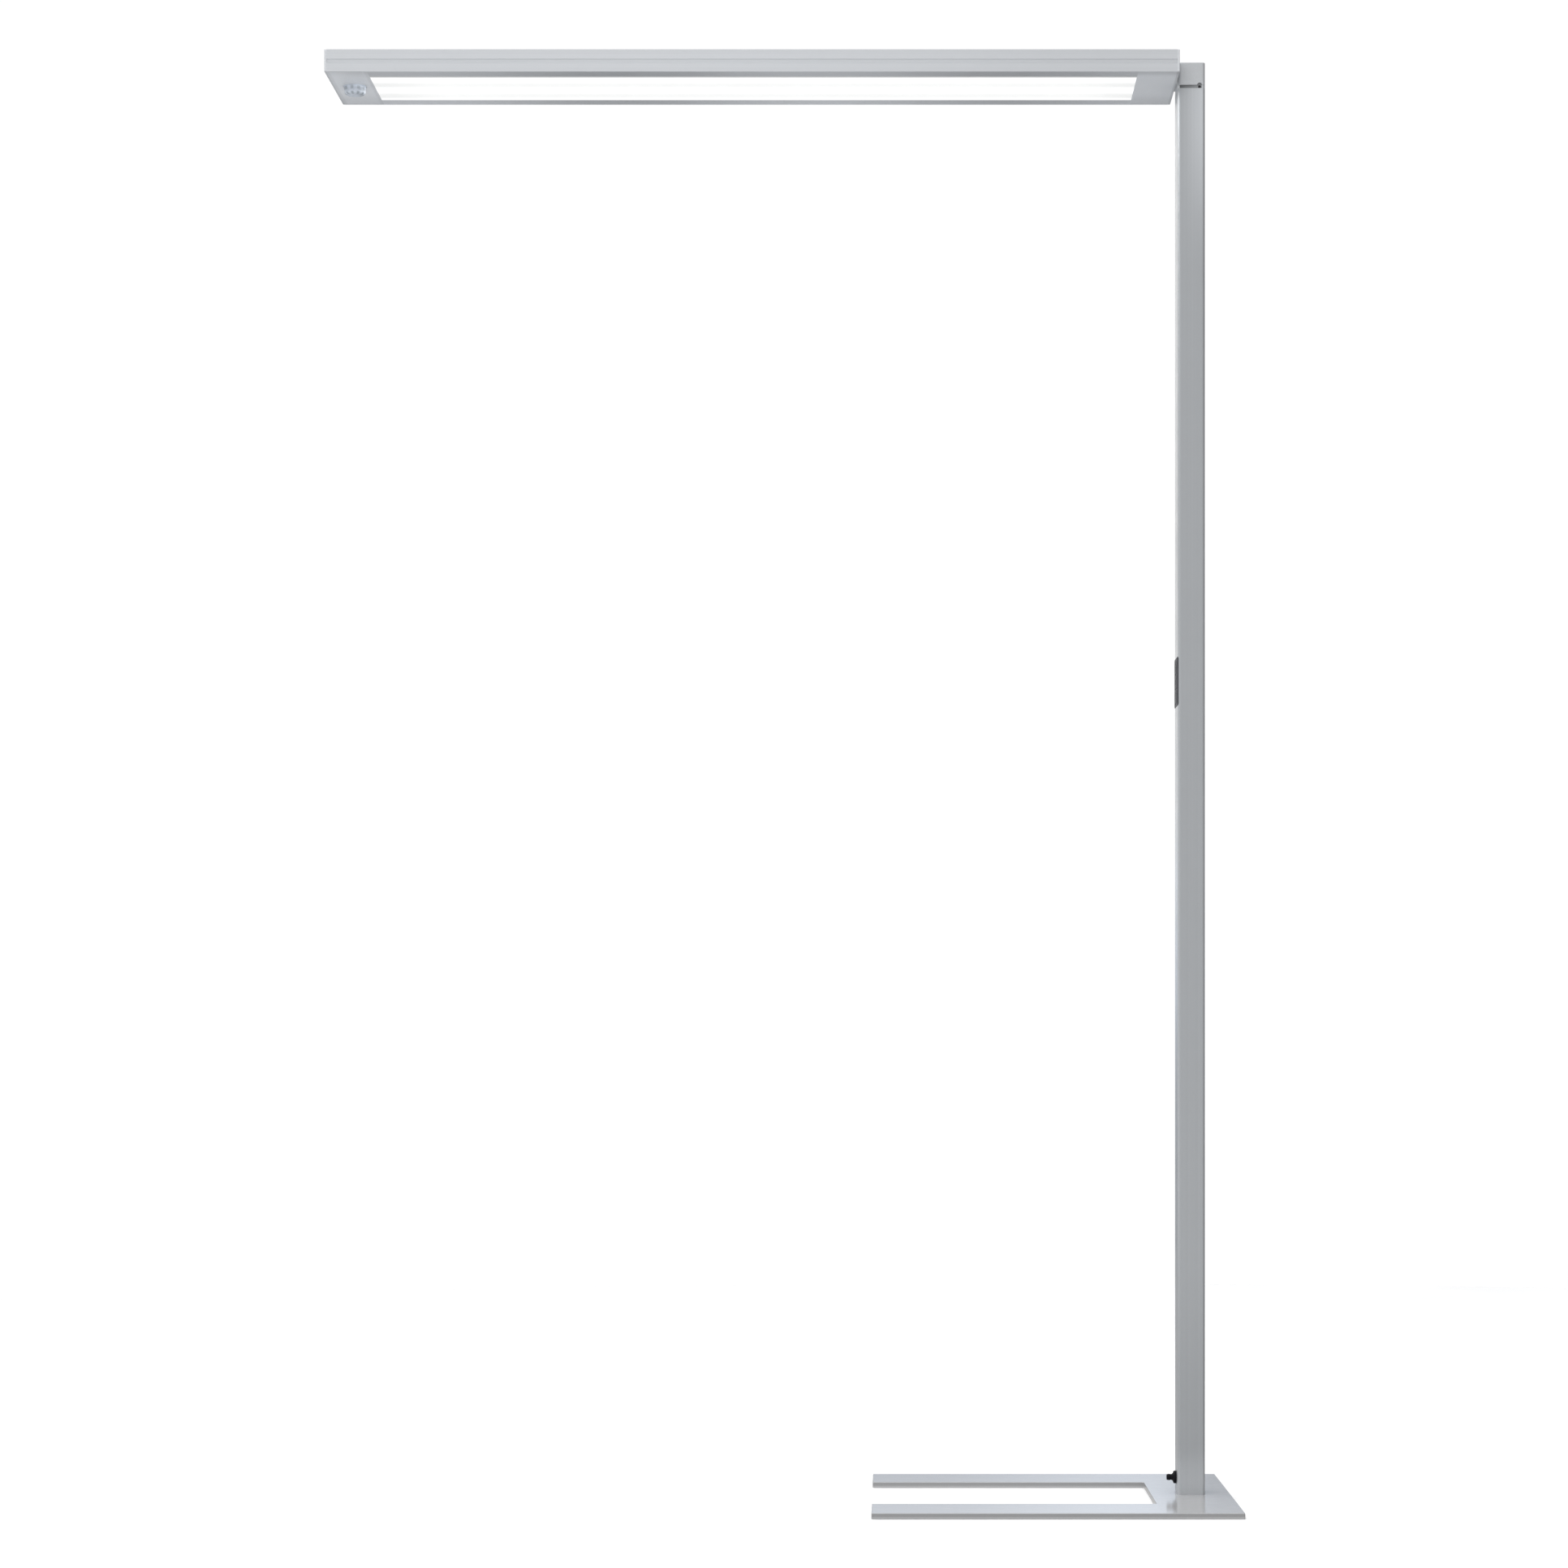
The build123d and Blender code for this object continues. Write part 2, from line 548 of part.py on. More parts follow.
with BuildPart() as swivel_cap:
    with BuildSketch(Plane.XY.offset(CAP_BOTTOM)):
        RectangleRounded(MAST_X, MAST_Y, MAST_CORNER)
    extrude(amount=CAP_TOP - LID - CAP_BOTTOM)
    chamfer(swivel_cap.edges().group_by(Axis.Z)[0], length=0.4)
    # wiring and screw pocket, open at the top
    with BuildSketch(Plane.XY.offset(FLOOR_TOP)):
        with Locations((0.3, 0)):
            RectangleRounded(28.2, 46, 3)
    extrude(amount=30, mode=Mode.SUBTRACT)
    # window for the arm bar in the left wall
    with BuildSketch(Plane.XY.offset(BAR_BOTTOM)):
        with Locations((-16, 0)):
            Rectangle(8, 2 * BAR_HALF + 0.2)
    extrude(amount=30, mode=Mode.SUBTRACT)
    # seat of the pivot tube
    with BuildSketch(Plane.XY.offset(CAP_BOTTOM)):
        Circle(PIVOT_R)
    extrude(amount=20, mode=Mode.SUBTRACT)
    # threads of the arm screws
    with BuildSketch(Plane.XY.offset(FLOOR_TOP)):
        with Locations(*ARM_SCREWS):
            Circle(3.0)
    extrude(amount=-5.2, mode=Mode.SUBTRACT)
    # curved slot that the stop pin runs in, open below
    with BuildSketch(Plane.XY.offset(CAP_BOTTOM)):
        Circle(STOP_R + STOP_PIN_R + 0.1)
        Circle(STOP_R - STOP_PIN_R - 0.1, mode=Mode.SUBTRACT)
        with Locations((-20 + STOP_R * math.cos(math.radians(SWING)), 0)):
            Rectangle(40, 60, mode=Mode.SUBTRACT)
        with Locations(
            (STOP_R * math.cos(math.radians(SWING)), STOP_R * math.sin(math.radians(SWING))),
            (STOP_R * math.cos(math.radians(SWING)), -STOP_R * math.sin(math.radians(SWING))),
        ):
            Circle(STOP_PIN_R + 0.1)
    extrude(amount=6.2, mode=Mode.SUBTRACT)
    # round notch in the lower front edge, so that a driver reaches the spacer's screw
    with BuildSketch(Plane(origin=(SPACER_SCREW_X, -30, CAP_BOTTOM + 0.1), x_dir=(1, 0, 0), z_dir=(0, 1, 0))):
        Circle(3.0)
    extrude(amount=30 - MAST_Y / 2 + WINDOW_DEEP, mode=Mode.SUBTRACT)
keep(swivel_cap, "swivel_cap")

with BuildPart() as cap_lid:
    with BuildSketch(Plane.XY.offset(CAP_TOP - LID)):
        RectangleRounded(MAST_X, MAST_Y, MAST_CORNER)
    extrude(amount=LID)
    fillet(cap_lid.edges().group_by(Axis.Z)[-1], radius=1.2)
    # locating rim inside the pocket, clear of the arm bar
    with BuildSketch(Plane.XY.offset(CAP_TOP - LID)):
        with Locations((0.3, 0)):
            RectangleRounded(28.0, 45.8, 2.9)
            RectangleRounded(25.0, 42.8, 1.4, mode=Mode.SUBTRACT)
        with Locations((-10, 0)):
            Rectangle(16, 41, mode=Mode.SUBTRACT)
    extrude(amount=-1.5)
keep(cap_lid, "cap_lid")

# steel bar that carries the head, with a wire groove along its top
with BuildPart() as arm_bar:
    with BuildSketch(Plane.XY.offset(BAR_BOTTOM)):
        with Locations(((-76 + 11.5) / 2, 0)):
            Rectangle(87.5, 2 * BAR_HALF)
        with Locations((-2, 0)):
            SlotOverall(14, 10, mode=Mode.SUBTRACT)
        with Locations(*ARM_SCREWS):
            Circle(3.0, mode=Mode.SUBTRACT)
    extrude(amount=BAR_TOP - BAR_BOTTOM)
    with BuildSketch(Plane.XY.offset(BAR_TOP)):
        with Locations((-40, 0)):
            Rectangle(80, 10)
    extrude(amount=-5.5, mode=Mode.SUBTRACT)
    # countersinks of the arm screws
    for sx, sy in ARM_SCREWS:
        with BuildSketch(Plane(origin=(sx, sy, BAR_TOP), x_dir=(1, 0, 0), z_dir=(0, -1, 0))):
            with BuildLine():
                Polyline((0, 0), (4.5, 0), (4.5, -0.25), (3.0, -1.75), (0, -1.75), (0, 0))
            make_face()
        revolve(axis=Axis((sx, sy, 0), (0, 0, 1)), mode=Mode.SUBTRACT)
    # threads for the bridge screws
    with BuildSketch(Plane.XY.offset(BAR_BOTTOM)):
        with Locations((-36, 13), (-36, -13), (-64, 13), (-64, -13)):
            Circle(2.5)
    extrude(amount=7.2, mode=Mode.SUBTRACT)
keep(arm_bar, "arm_bar")

M6_LOW = countersunk(3.0, 4.5, 18.0, 2.0)
with BuildPart() as arm_bar_screws:
    with Locations(*[Location((sx, sy, BAR_TOP), (180, 0, 0)) for sx, sy in ARM_SCREWS]):
        add(M6_LOW)
keep(arm_bar_screws, "arm_bar_screws")

with BuildPart() as neck_collar:
    with BuildSketch(Plane.YZ.offset(HEAD_RIGHT)):
        with Locations((0, 1933.7)):
            RectangleRounded(47, 27, 2)
        with Locations((0, (BAR_BOTTOM + BAR_TOP) / 2)):
            Rectangle(2 * BAR_HALF, BAR_TOP - BAR_BOTTOM, mode=Mode.SUBTRACT)
    extrude(amount=-HEAD_RIGHT - MAST_X / 2)
keep(neck_collar, "neck_collar")

# ---------------------------------------------------------------- head
BRIDGE_BOTTOM = 1929.3
BRIDGE_X0, BRIDGE_X1 = -76.0, -24.0
PROFILE_X0, PROFILE_X1 = HEAD_LEFT + END_WALL, HEAD_RIGHT - END_WALL
LEDGE_TOP = 1937.3
PORTS_Z = (1941.4, 1925.0)
PORT_Y = HEAD_HALF - 5.8
GROOVE_Z0, GROOVE_Z1, GROOVE_DEEP = 1930.6, 1936.2, 1.2
SEAM_Y = HEAD_HALF - 9.0

with BuildPart() as mounting_bridge:
    with BuildSketch(Plane.XY.offset(BRIDGE_BOTTOM)):
        with Locations(((BRIDGE_X0 + BRIDGE_X1) / 2, 0)):
            Rectangle(BRIDGE_X1 - BRIDGE_X0, 2 * (HEAD_IN - 0.1))
        with Locations((-36, 13), (-36, -13), (-64, 13), (-64, -13)):
            Circle(2.5, mode=Mode.SUBTRACT)
        with Locations((-38, 73), (-38, -73), (-62, 73), (-62, -73)):
            Circle(2.0, mode=Mode.SUBTRACT)
    extrude(amount=BAR_BOTTOM - BRIDGE_BOTTOM)
    for sx, sy, r in [(x, y, 2.5) for x in (-36, -64) for y in (13, -13)] + [
        (x, y, 2.0) for x in (-38, -62) for y in (73, -73)
    ]:
        with BuildSketch(Plane(origin=(sx, sy, BRIDGE_BOTTOM), x_dir=(1, 0, 0), z_dir=(0, -1, 0))):
            with BuildLine():
                Polyline((0, 0), (2 * r, 0), (2 * r, 0.25), (r, r + 0.25), (0, r + 0.25), (0, 0))
            make_face()
        revolve(axis=Axis((sx, sy, 0), (0, 0, 1)), mode=Mode.SUBTRACT)
keep(mounting_bridge, "mounting_bridge")

with BuildPart() as bridge_bar_screws:
    with Locations(*[(x, y, BRIDGE_BOTTOM) for x in (-36, -64) for y in (13, -13)]):
        add(M5_BRIDGE)
keep(bridge_bar_screws, "bridge_bar_screws")

with BuildPart() as bridge_profile_screws:
    with Locations(*[(x, y, BRIDGE_BOTTOM) for x in (-38, -62) for y in (73, -73)]):
        add(M4_BRIDGE)
keep(bridge_profile_screws, "bridge_profile_screws")


def side_profile(side, name):
    """One of the two long aluminium extrusions, side = -1 at the front and 1 at the rear."""
    with BuildPart() as profile:
        with BuildSketch(Plane.YZ.offset(PROFILE_X0)) as section:
            with BuildLine():
                Polyline(
                    *[
                        (side * y, z)
                        for y, z in [
                            (HEAD_HALF, HEAD_BOTTOM),
                            (HEAD_HALF, GROOVE_Z0),
                            (HEAD_HALF - GROOVE_DEEP, GROOVE_Z0 + 0.8),
                            (HEAD_HALF - GROOVE_DEEP, GROOVE_Z1 - 0.8),
                            (HEAD_HALF, GROOVE_Z1),
                            (HEAD_HALF, HEAD_TOP),
                            (SEAM_Y, HEAD_TOP),
                            (SEAM_Y, HEAD_TOP - SKIN),
                            (SEAM_Y - 4.0, HEAD_TOP - SKIN),
                            (SEAM_Y - 4.0, HEAD_TOP - SKIN - 1.5),
                            (HEAD_IN, HEAD_TOP - SKIN - 1.5),
                            (HEAD_IN, LEDGE_TOP),
                            (70.0, LEDGE_TOP),
                            (70.0, BAR_BOTTOM),
                            (HEAD_IN, BAR_BOTTOM),
                            (HEAD_IN, HEAD_BOTTOM + LIP),
                            (PANEL_HALF, HEAD_BOTTOM + LIP),
                            (PANEL_HALF, HEAD_BOTTOM),
                            (HEAD_HALF, HEAD_BOTTOM),
                        ]
                    ]
                )
            make_face()
            # rounded outer edges and softly broken groove edges
            outer = section.vertices().filter_by(lambda v: abs(abs(v.Y) - HEAD_HALF) < 0.01)
            fillet(
                outer.filter_by(lambda v: v.Z < HEAD_BOTTOM + 0.1 or v.Z > HEAD_TOP - 0.1), radius=EDGE_R
            )
            grooved = section.vertices().filter_by(
                lambda v: GROOVE_Z0 - 0.1 < v.Z < GROOVE_Z1 + 0.1 and abs(abs(v.Y) - HEAD_HALF) < 0.01
            )
            fillet(grooved, radius=0.4)
            lip_edge = section.vertices().filter_by(
                lambda v: v.Z < HEAD_BOTTOM + 0.1 and abs(abs(v.Y) - PANEL_HALF) < 0.01
            )
            fillet(lip_edge, radius=0.5)
            # screw ports for the end caps
            with Locations(*[(side * PORT_Y, z) for z in PORTS_Z]):
                Circle(3.8)
            with Locations(*[(side * PORT_Y, z) for z in PORTS_Z]):
                Circle(2.0, mode=Mode.SUBTRACT)
        extrude(amount=PROFILE_X1 - PROFILE_X0)
        # the lower lip runs only beside the lit panel
        for x0, x1 in ((PROFILE_X0 - 1, PANEL_LEFT), (PANEL_RIGHT, PROFILE_X1 + 1)):
            with BuildSketch(Plane.XY.offset(HEAD_BOTTOM - 1)):
                with Locations(((x0 + x1) / 2, side * (HEAD_IN + 60) / 2)):
                    Rectangle(x1 - x0, HEAD_IN - 60)
            extrude(amount=LIP + 1, mode=Mode.SUBTRACT)
        # threads for the bridge screws and the tray screws
        with BuildSketch(Plane.XY.offset(BAR_BOTTOM)):
            with Locations((-38, side * 73), (-62, side * 73)):
                Circle(2.0)
            with Locations(*[(x, side * 72.5) for x in TRAY_SCREWS_X]):
                Circle(1.5)
        extrude(amount=LEDGE_TOP - BAR_BOTTOM, mode=Mode.SUBTRACT)
    keep(profile, name)


TRAY_SCREWS_X = (-1070.0, -593.0, -116.0)
side_profile(-1, "front_profile")
side_profile(1, "rear_profile")

with BuildPart() as top_cover:
    with BuildSketch(Plane.XY.offset(HEAD_TOP - SKIN)):
        with Locations(((PROFILE_X0 + PROFILE_X1) / 2, 0)):
            Rectangle(PROFILE_X1 - PROFILE_X0, 2 * (SEAM_Y - 0.05))
    extrude(amount=SKIN)
    # shallow grooves along the seams
    chamfer(top_cover.edges().group_by(Axis.Z)[-1].filter_by(Axis.X), length=0.4)
keep(top_cover, "top_cover")


def end_cap(outer_x, inner_x, plate_x, name, window):
    """End wall with the underside plate that closes the head beyond the lit panel."""
    with BuildPart() as cap:
        with BuildSketch(Plane.YZ.offset(min(outer_x, inner_x))):
            with Locations((0, (HEAD_BOTTOM + HEAD_TOP) / 2)):
                RectangleRounded(2 * HEAD_HALF, HEAD_TOP - HEAD_BOTTOM, EDGE_R)
            if window:
                with Locations((0, (BAR_BOTTOM + BAR_TOP) / 2)):
                    Rectangle(2 * BAR_HALF + 0.2, BAR_TOP - BAR_BOTTOM + 0.2, mode=Mode.SUBTRACT)
        extrude(amount=END_WALL)
        rim = cap.faces().sort_by(Axis.X)[0 if outer_x < inner_x else -1].outer_wire().edges()
        chamfer(rim, length=0.5)
        with BuildSketch(Plane.XY.offset(HEAD_BOTTOM)):
            with Locations(((inner_x + plate_x) / 2, 0)):
                Rectangle(abs(plate_x - inner_x), 2 * (HEAD_IN - 0.1))
            if not window:
                with Locations((SENSOR_X, SENSOR_Y)):
                    Circle(18.1, mode=Mode.SUBTRACT)
        extrude(amount=LIP)
        # countersunk holes for the end screws
        into = 1 if inner_x > outer_x else -1
        for y in (PORT_Y, -PORT_Y):
            for z in PORTS_Z:
                with BuildSketch(Plane(origin=(outer_x, y, z), x_dir=(into, 0, 0), z_dir=(0, -into, 0))):
                    with BuildLine():
                        Polyline(
                            (-0.5, 0), (-0.5, 4.0), (0.25, 4.0), (2.05, 2.2), (3.5, 2.2), (3.5, 0), (-0.5, 0)
                        )
                    make_face()
                revolve(axis=Axis((outer_x, y, z), (1, 0, 0)), mode=Mode.SUBTRACT)
    keep(cap, name)


end_cap(HEAD_LEFT, PROFILE_X0, PANEL_LEFT, "left_end_cap", False)
end_cap(HEAD_RIGHT, PROFILE_X1, PANEL_RIGHT, "right_end_cap", True)

with BuildPart() as end_cap_screws:
    with Locations(*[Location((HEAD_LEFT, y, z), (0, 90, 0)) for y in (PORT_Y, -PORT_Y) for z in PORTS_Z]):
        add(M4_END)
    with Locations(*[Location((HEAD_RIGHT, y, z), (0, -90, 0)) for y in (PORT_Y, -PORT_Y) for z in PORTS_Z]):
        add(M4_END)
keep(end_cap_screws, "end_cap_screws")

# tray-shaped diffuser: its flange lies on the lips and its face drops between them
with BuildPart() as diffuser:
    with BuildSketch(Plane.XY.offset(HEAD_BOTTOM + LIP)):
        with Locations(((PANEL_LEFT + PANEL_RIGHT) / 2, 0)):
            Rectangle(PANEL_RIGHT - PANEL_LEFT + 6, 140)
    extrude(amount=2.0)
    with BuildSketch(Plane.XY.offset(HEAD_BOTTOM)):
        with Locations(((PANEL_LEFT + PANEL_RIGHT) / 2, 0)):
            Rectangle(PANEL_RIGHT - PANEL_LEFT - 0.4, 2 * PANEL_HALF - 0.4)
    extrude(amount=LIP)
    with BuildSketch(Plane.XY.offset(HEAD_BOTTOM + 2.0)):
        with Locations(((PANEL_LEFT + PANEL_RIGHT) / 2, 0)):
            Rectangle(PANEL_RIGHT - PANEL_LEFT - 4.4, 2 * PANEL_HALF - 4.4)
    extrude(amount=LIP, mode=Mode.SUBTRACT)
keep(diffuser, "diffuser")

with BuildPart() as light_box_ends:
    with BuildSketch(Plane.XY.offset(HEAD_BOTTOM + LIP + 2.0)):
        with Locations((PANEL_LEFT + 1.5, 0), (PANEL_RIGHT - 1.5, 0)):
            Rectangle(2, 139)
    extrude(amount=LEDGE_TOP - HEAD_BOTTOM - LIP - 2.0)
keep(light_box_ends, "light_box_ends")

with BuildPart() as led_tray:
    with BuildSketch(Plane.XY.offset(LEDGE_TOP)):
        with Locations(((PANEL_LEFT + PANEL_RIGHT) / 2, 0)):
            Rectangle(PANEL_RIGHT - PANEL_LEFT - 1, 150.4)
        with Locations(*[(x, s * 72.5) for x in TRAY_SCREWS_X for s in (1, -1)]):
            Circle(1.6, mode=Mode.SUBTRACT)
    extrude(amount=1.5)
keep(led_tray, "led_tray")

with BuildPart() as tray_screws:
    with Locations(*[Location((x, s * 72.5, LEDGE_TOP + 1.5), (180, 0, 0)) for x in TRAY_SCREWS_X for s in (1, -1)]):
        add(M3_TRAY)
keep(tray_screws, "tray_screws")

BOARD_X = ((PANEL_LEFT + PANEL_RIGHT) / 2 - 256, (PANEL_LEFT + PANEL_RIGHT) / 2 + 256)
BOARD_Y = (-27.0, 27.0)
with BuildPart() as led_boards:
    with BuildSketch(Plane.XY.offset(LEDGE_TOP)):
        with Locations(*[(x, y) for x in BOARD_X for y in BOARD_Y]):
            Rectangle(508, 20)
    extrude(amount=-1.6)
    with BuildSketch(Plane.XY.offset(LEDGE_TOP - 1.6)):
        with Locations(*[(x + (i - 7.5) * 31.5, y) for x in BOARD_X for y in BOARD_Y for i in range(16)]):
            Rectangle(3.5, 2.8)
    extrude(amount=-0.7)
keep(led_boards, "led_boards")

with BuildPart() as head_terminal:
    with BuildSketch(Plane.XY.offset(LEDGE_TOP + 1.5)):
        with Locations((-100, 0)):
            Rectangle(30, 26)
    extrude(amount=7.5)
    chamfer(head_terminal.edges().group_by(Axis.Z)[-1], length=0.8)
keep(head_terminal, "head_terminal")

# lead from the pivot's bore into the bar's groove and on to the terminal
LEAD_BEND = 7.5
with BuildPart() as head_lead:
    with BuildLine(Plane.XZ):
        lead_up = Line((0, 1928.0), (0, 1933.9))
        lead_bend = JernArc(start=lead_up @ 1, tangent=(0, 1), radius=LEAD_BEND, arc_size=90)
        Line(lead_bend @ 1, (-85.0, 1933.9 + LEAD_BEND))
    with BuildSketch(Plane.XY.offset(1928.0)):
        Circle(2.5)
    sweep()
keep(head_lead, "head_lead")

# ---------------------------------------------------------------- sensor
with BuildPart() as sensor_bezel:
    with BuildSketch(Plane(origin=(SENSOR_X, SENSOR_Y, 0), x_dir=(1, 0, 0), z_dir=(0, -1, 0))):
        with BuildLine():
            Polyline(
                (15.6, 1918.9),
                (16.0, 1918.5),
                (17.6, 1918.5),
                (18.0, 1918.9),
                (18.0, 1929.0),
                (16.0, 1929.0),
                (16.0, 1924.0),
                (15.6, 1924.0),
                (15.6, 1918.9),
            )
        make_face()
    revolve(axis=Axis((SENSOR_X, SENSOR_Y, 0), (0, 0, 1)))
keep(sensor_bezel, "sensor_bezel")

# drum-shaped lens: steep side, rounded lower edge, nearly flat end, open at the top
with BuildPart() as sensor_lens:
    with BuildSketch(Plane(origin=(SENSOR_X, SENSOR_Y, 0), x_dir=(1, 0, 0), z_dir=(0, -1, 0))) as lens_section:
        with BuildLine():
            Polyline(
                (0, 1906.2),
                (13.7, 1907.4),
                (15.4, 1919.0),
                (15.4, 1924.0),
                (15.9, 1924.0),
                (15.9, 1927.0),
                (14.2, 1927.0),
                (14.2, 1919.2),
                (12.55, 1908.6),
                (0, 1907.4),
                (0, 1906.2),
            )
        make_face()
        fillet(lens_section.vertices().filter_by(lambda v: abs(v.Z - 1907.4) < 0.01 and v.X > SENSOR_X + 10), radius=3.8)
        fillet(lens_section.vertices().filter_by(lambda v: abs(v.Z - 1908.6) < 0.01), radius=2.6)
    revolve(axis=Axis((SENSOR_X, SENSOR_Y, 0), (0, 0, 1)))
keep(sensor_lens, "sensor_lens")

with BuildPart() as sensor_board:
    with BuildSketch(Plane.XY.offset(1929.0)):
        with Locations((SENSOR_X, SENSOR_Y)):
            RectangleRounded(40, 56, 3)
    extrude(amount=1.6)
keep(sensor_board, "sensor_board")

with BuildPart() as sensor_element:
    with BuildSketch(Plane.XY.offset(1923.6)):
        with Locations((SENSOR_X, SENSOR_Y)):
            Circle(4.6)
    extrude(amount=5.4)
keep(sensor_element, "sensor_element")

print(len(PARTS), "nodes")
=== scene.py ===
import math

import bmesh
import bpy
from mathutils import Matrix, Vector


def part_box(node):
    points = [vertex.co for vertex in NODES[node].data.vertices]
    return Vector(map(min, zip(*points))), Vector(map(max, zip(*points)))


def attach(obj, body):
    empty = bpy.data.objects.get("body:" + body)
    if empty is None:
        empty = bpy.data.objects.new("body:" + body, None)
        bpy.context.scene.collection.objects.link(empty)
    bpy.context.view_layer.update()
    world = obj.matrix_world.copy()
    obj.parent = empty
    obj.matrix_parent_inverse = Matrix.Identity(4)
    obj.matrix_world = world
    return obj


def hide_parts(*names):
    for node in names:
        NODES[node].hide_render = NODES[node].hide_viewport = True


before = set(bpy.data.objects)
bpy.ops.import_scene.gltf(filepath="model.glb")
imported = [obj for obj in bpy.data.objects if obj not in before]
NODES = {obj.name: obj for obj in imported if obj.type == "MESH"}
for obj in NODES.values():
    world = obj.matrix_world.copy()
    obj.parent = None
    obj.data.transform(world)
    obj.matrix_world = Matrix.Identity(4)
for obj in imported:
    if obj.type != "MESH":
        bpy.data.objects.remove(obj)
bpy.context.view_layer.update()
scene = bpy.context.scene
MM = 0.001

# ------------------------------------------------------------------ camera
# Straight along +Y and level, with the frame shifted as a view camera does.
camera_data = bpy.data.cameras.new("camera")
camera_data.sensor_fit = "HORIZONTAL"
camera_data.sensor_width = 36.0
camera_data.lens = 87.716
camera_data.shift_x = -0.06721
camera_data.shift_y = 0.17620
camera_data.clip_start = 0.05
camera_data.clip_end = 200.0
camera = bpy.data.objects.new("camera", camera_data)
camera.location = (-0.409, -5.19933, 0.59648)
camera.rotation_euler = (math.radians(90.0), 0.0, 0.0)
scene.collection.objects.link(camera)
scene.camera = camera

scene.view_settings.view_transform = "Standard"
scene.view_settings.look = "None"
scene.view_settings.exposure = 0.0
scene.view_settings.gamma = 1.0


# ------------------------------------------------------------------ node graphs
class Nodes:
    """Short names for the nodes of one tree. Vectors default to its own coordinate."""

    def __init__(self, tree, coordinate):
        self.tree = tree
        self.tree.nodes.clear()
        self.coord = self.tree.nodes.new("ShaderNodeTexCoord").outputs[coordinate]

    def link(self, source, socket):
        self.tree.links.new(source, socket)

    def feed(self, value, socket):
        if isinstance(value, bpy.types.NodeSocket):
            self.tree.links.new(value, socket)
        else:
            socket.default_value = value

    def stretch(self, scale, shift=(0, 0, 0)):
        node = self.tree.nodes.new("ShaderNodeMapping")
        node.inputs["Scale"].default_value = scale
        node.inputs["Location"].default_value = shift
        self.link(self.coord, node.inputs["Vector"])
        return node.outputs[0]

    def noise(self, vector=None, scale=1.0, detail=3.0, rough=0.55, twist=0.0):
        node = self.tree.nodes.new("ShaderNodeTexNoise")
        self.link(vector or self.coord, node.inputs["Vector"])
        node.inputs["Scale"].default_value = scale
        node.inputs["Detail"].default_value = detail
        node.inputs["Roughness"].default_value = rough
        node.inputs["Distortion"].default_value = twist
        return node.outputs[0]

    def cells(self, vector=None, scale=1.0, feature="F1", output="Distance", spread=1.0):
        node = self.tree.nodes.new("ShaderNodeTexVoronoi")
        node.feature = feature
        self.link(vector or self.coord, node.inputs["Vector"])
        node.inputs["Scale"].default_value = scale
        if "Randomness" in node.inputs:
            node.inputs["Randomness"].default_value = spread
        return node.outputs[output]

    def axes(self, vector=None):
        node = self.tree.nodes.new("ShaderNodeSeparateXYZ")
        self.link(vector or self.coord, node.inputs[0])
        return node.outputs

    def math(self, kind, a, b=0.0, c=0.0, clamp=False):
        node = self.tree.nodes.new("ShaderNodeMath")
        node.operation = kind
        node.use_clamp = clamp
        for value, socket in zip((a, b, c), node.inputs):
            self.feed(value, socket)
        return node.outputs[0]

    def span(self, value, low, high, to_low=0.0, to_high=1.0, smooth=True):
        node = self.tree.nodes.new("ShaderNodeMapRange")
        node.interpolation_type = "SMOOTHSTEP" if smooth else "LINEAR"
        for given, socket in zip((value, low, high, to_low, to_high), node.inputs):
            self.feed(given, socket)
        return node.outputs[0]

    def blend(self, share, a, b, kind="MIX"):
        node = self.tree.nodes.new("ShaderNodeMix")
        node.data_type = "RGBA"
        node.blend_type = kind
        self.feed(share, node.inputs[0])
        for value, socket in ((a, node.inputs[6]), (b, node.inputs[7])):
            if isinstance(value, (tuple, list)):
                value = (*value[:3], 1.0)
            self.feed(value, socket)
        return node.outputs[2]

    def scale(self, colour, by):
        """colour times a number that varies over the surface."""
        node = self.tree.nodes.new("ShaderNodeVectorMath")
        node.operation = "SCALE"
        self.feed(colour, node.inputs[0])
        self.feed(by, node.inputs["Scale"])
        return node.outputs[0]


class Graph(Nodes):
    """One Principled material whose colour, roughness and bump come from nodes."""

    def __init__(self, name):
        self.mat = bpy.data.materials.new(name)
        self.mat.use_nodes = True
        super().__init__(self.mat.node_tree, "Object")
        self.out = self.tree.nodes.new("ShaderNodeOutputMaterial")
        self.shader = self.tree.nodes.new("ShaderNodeBsdfPrincipled")
        self.link(self.shader.outputs[0], self.out.inputs[0])

    def set(self, **values):
        for name, value in values.items():
            self.shader.inputs[name.replace("_", " ")].default_value = value
        return self

    def bump(self, height, strength, distance, over=None):
        node = self.tree.nodes.new("ShaderNodeBump")
        node.inputs["Strength"].default_value = strength
        node.inputs["Distance"].default_value = distance
        self.link(height, node.inputs["Height"])
        if over is not None:
            self.link(over, node.inputs["Normal"])
        return node.outputs[0]

    def finish(self, colour=None, rough=None, normal=None):
        for source, name in ((colour, "Base Color"), (rough, "Roughness"), (normal, "Normal")):
            if source is not None:
                self.link(source, self.shader.inputs[name])
        return self.mat


def shade(colour, by):
    return tuple(min(1.0, c * by) for c in colour)


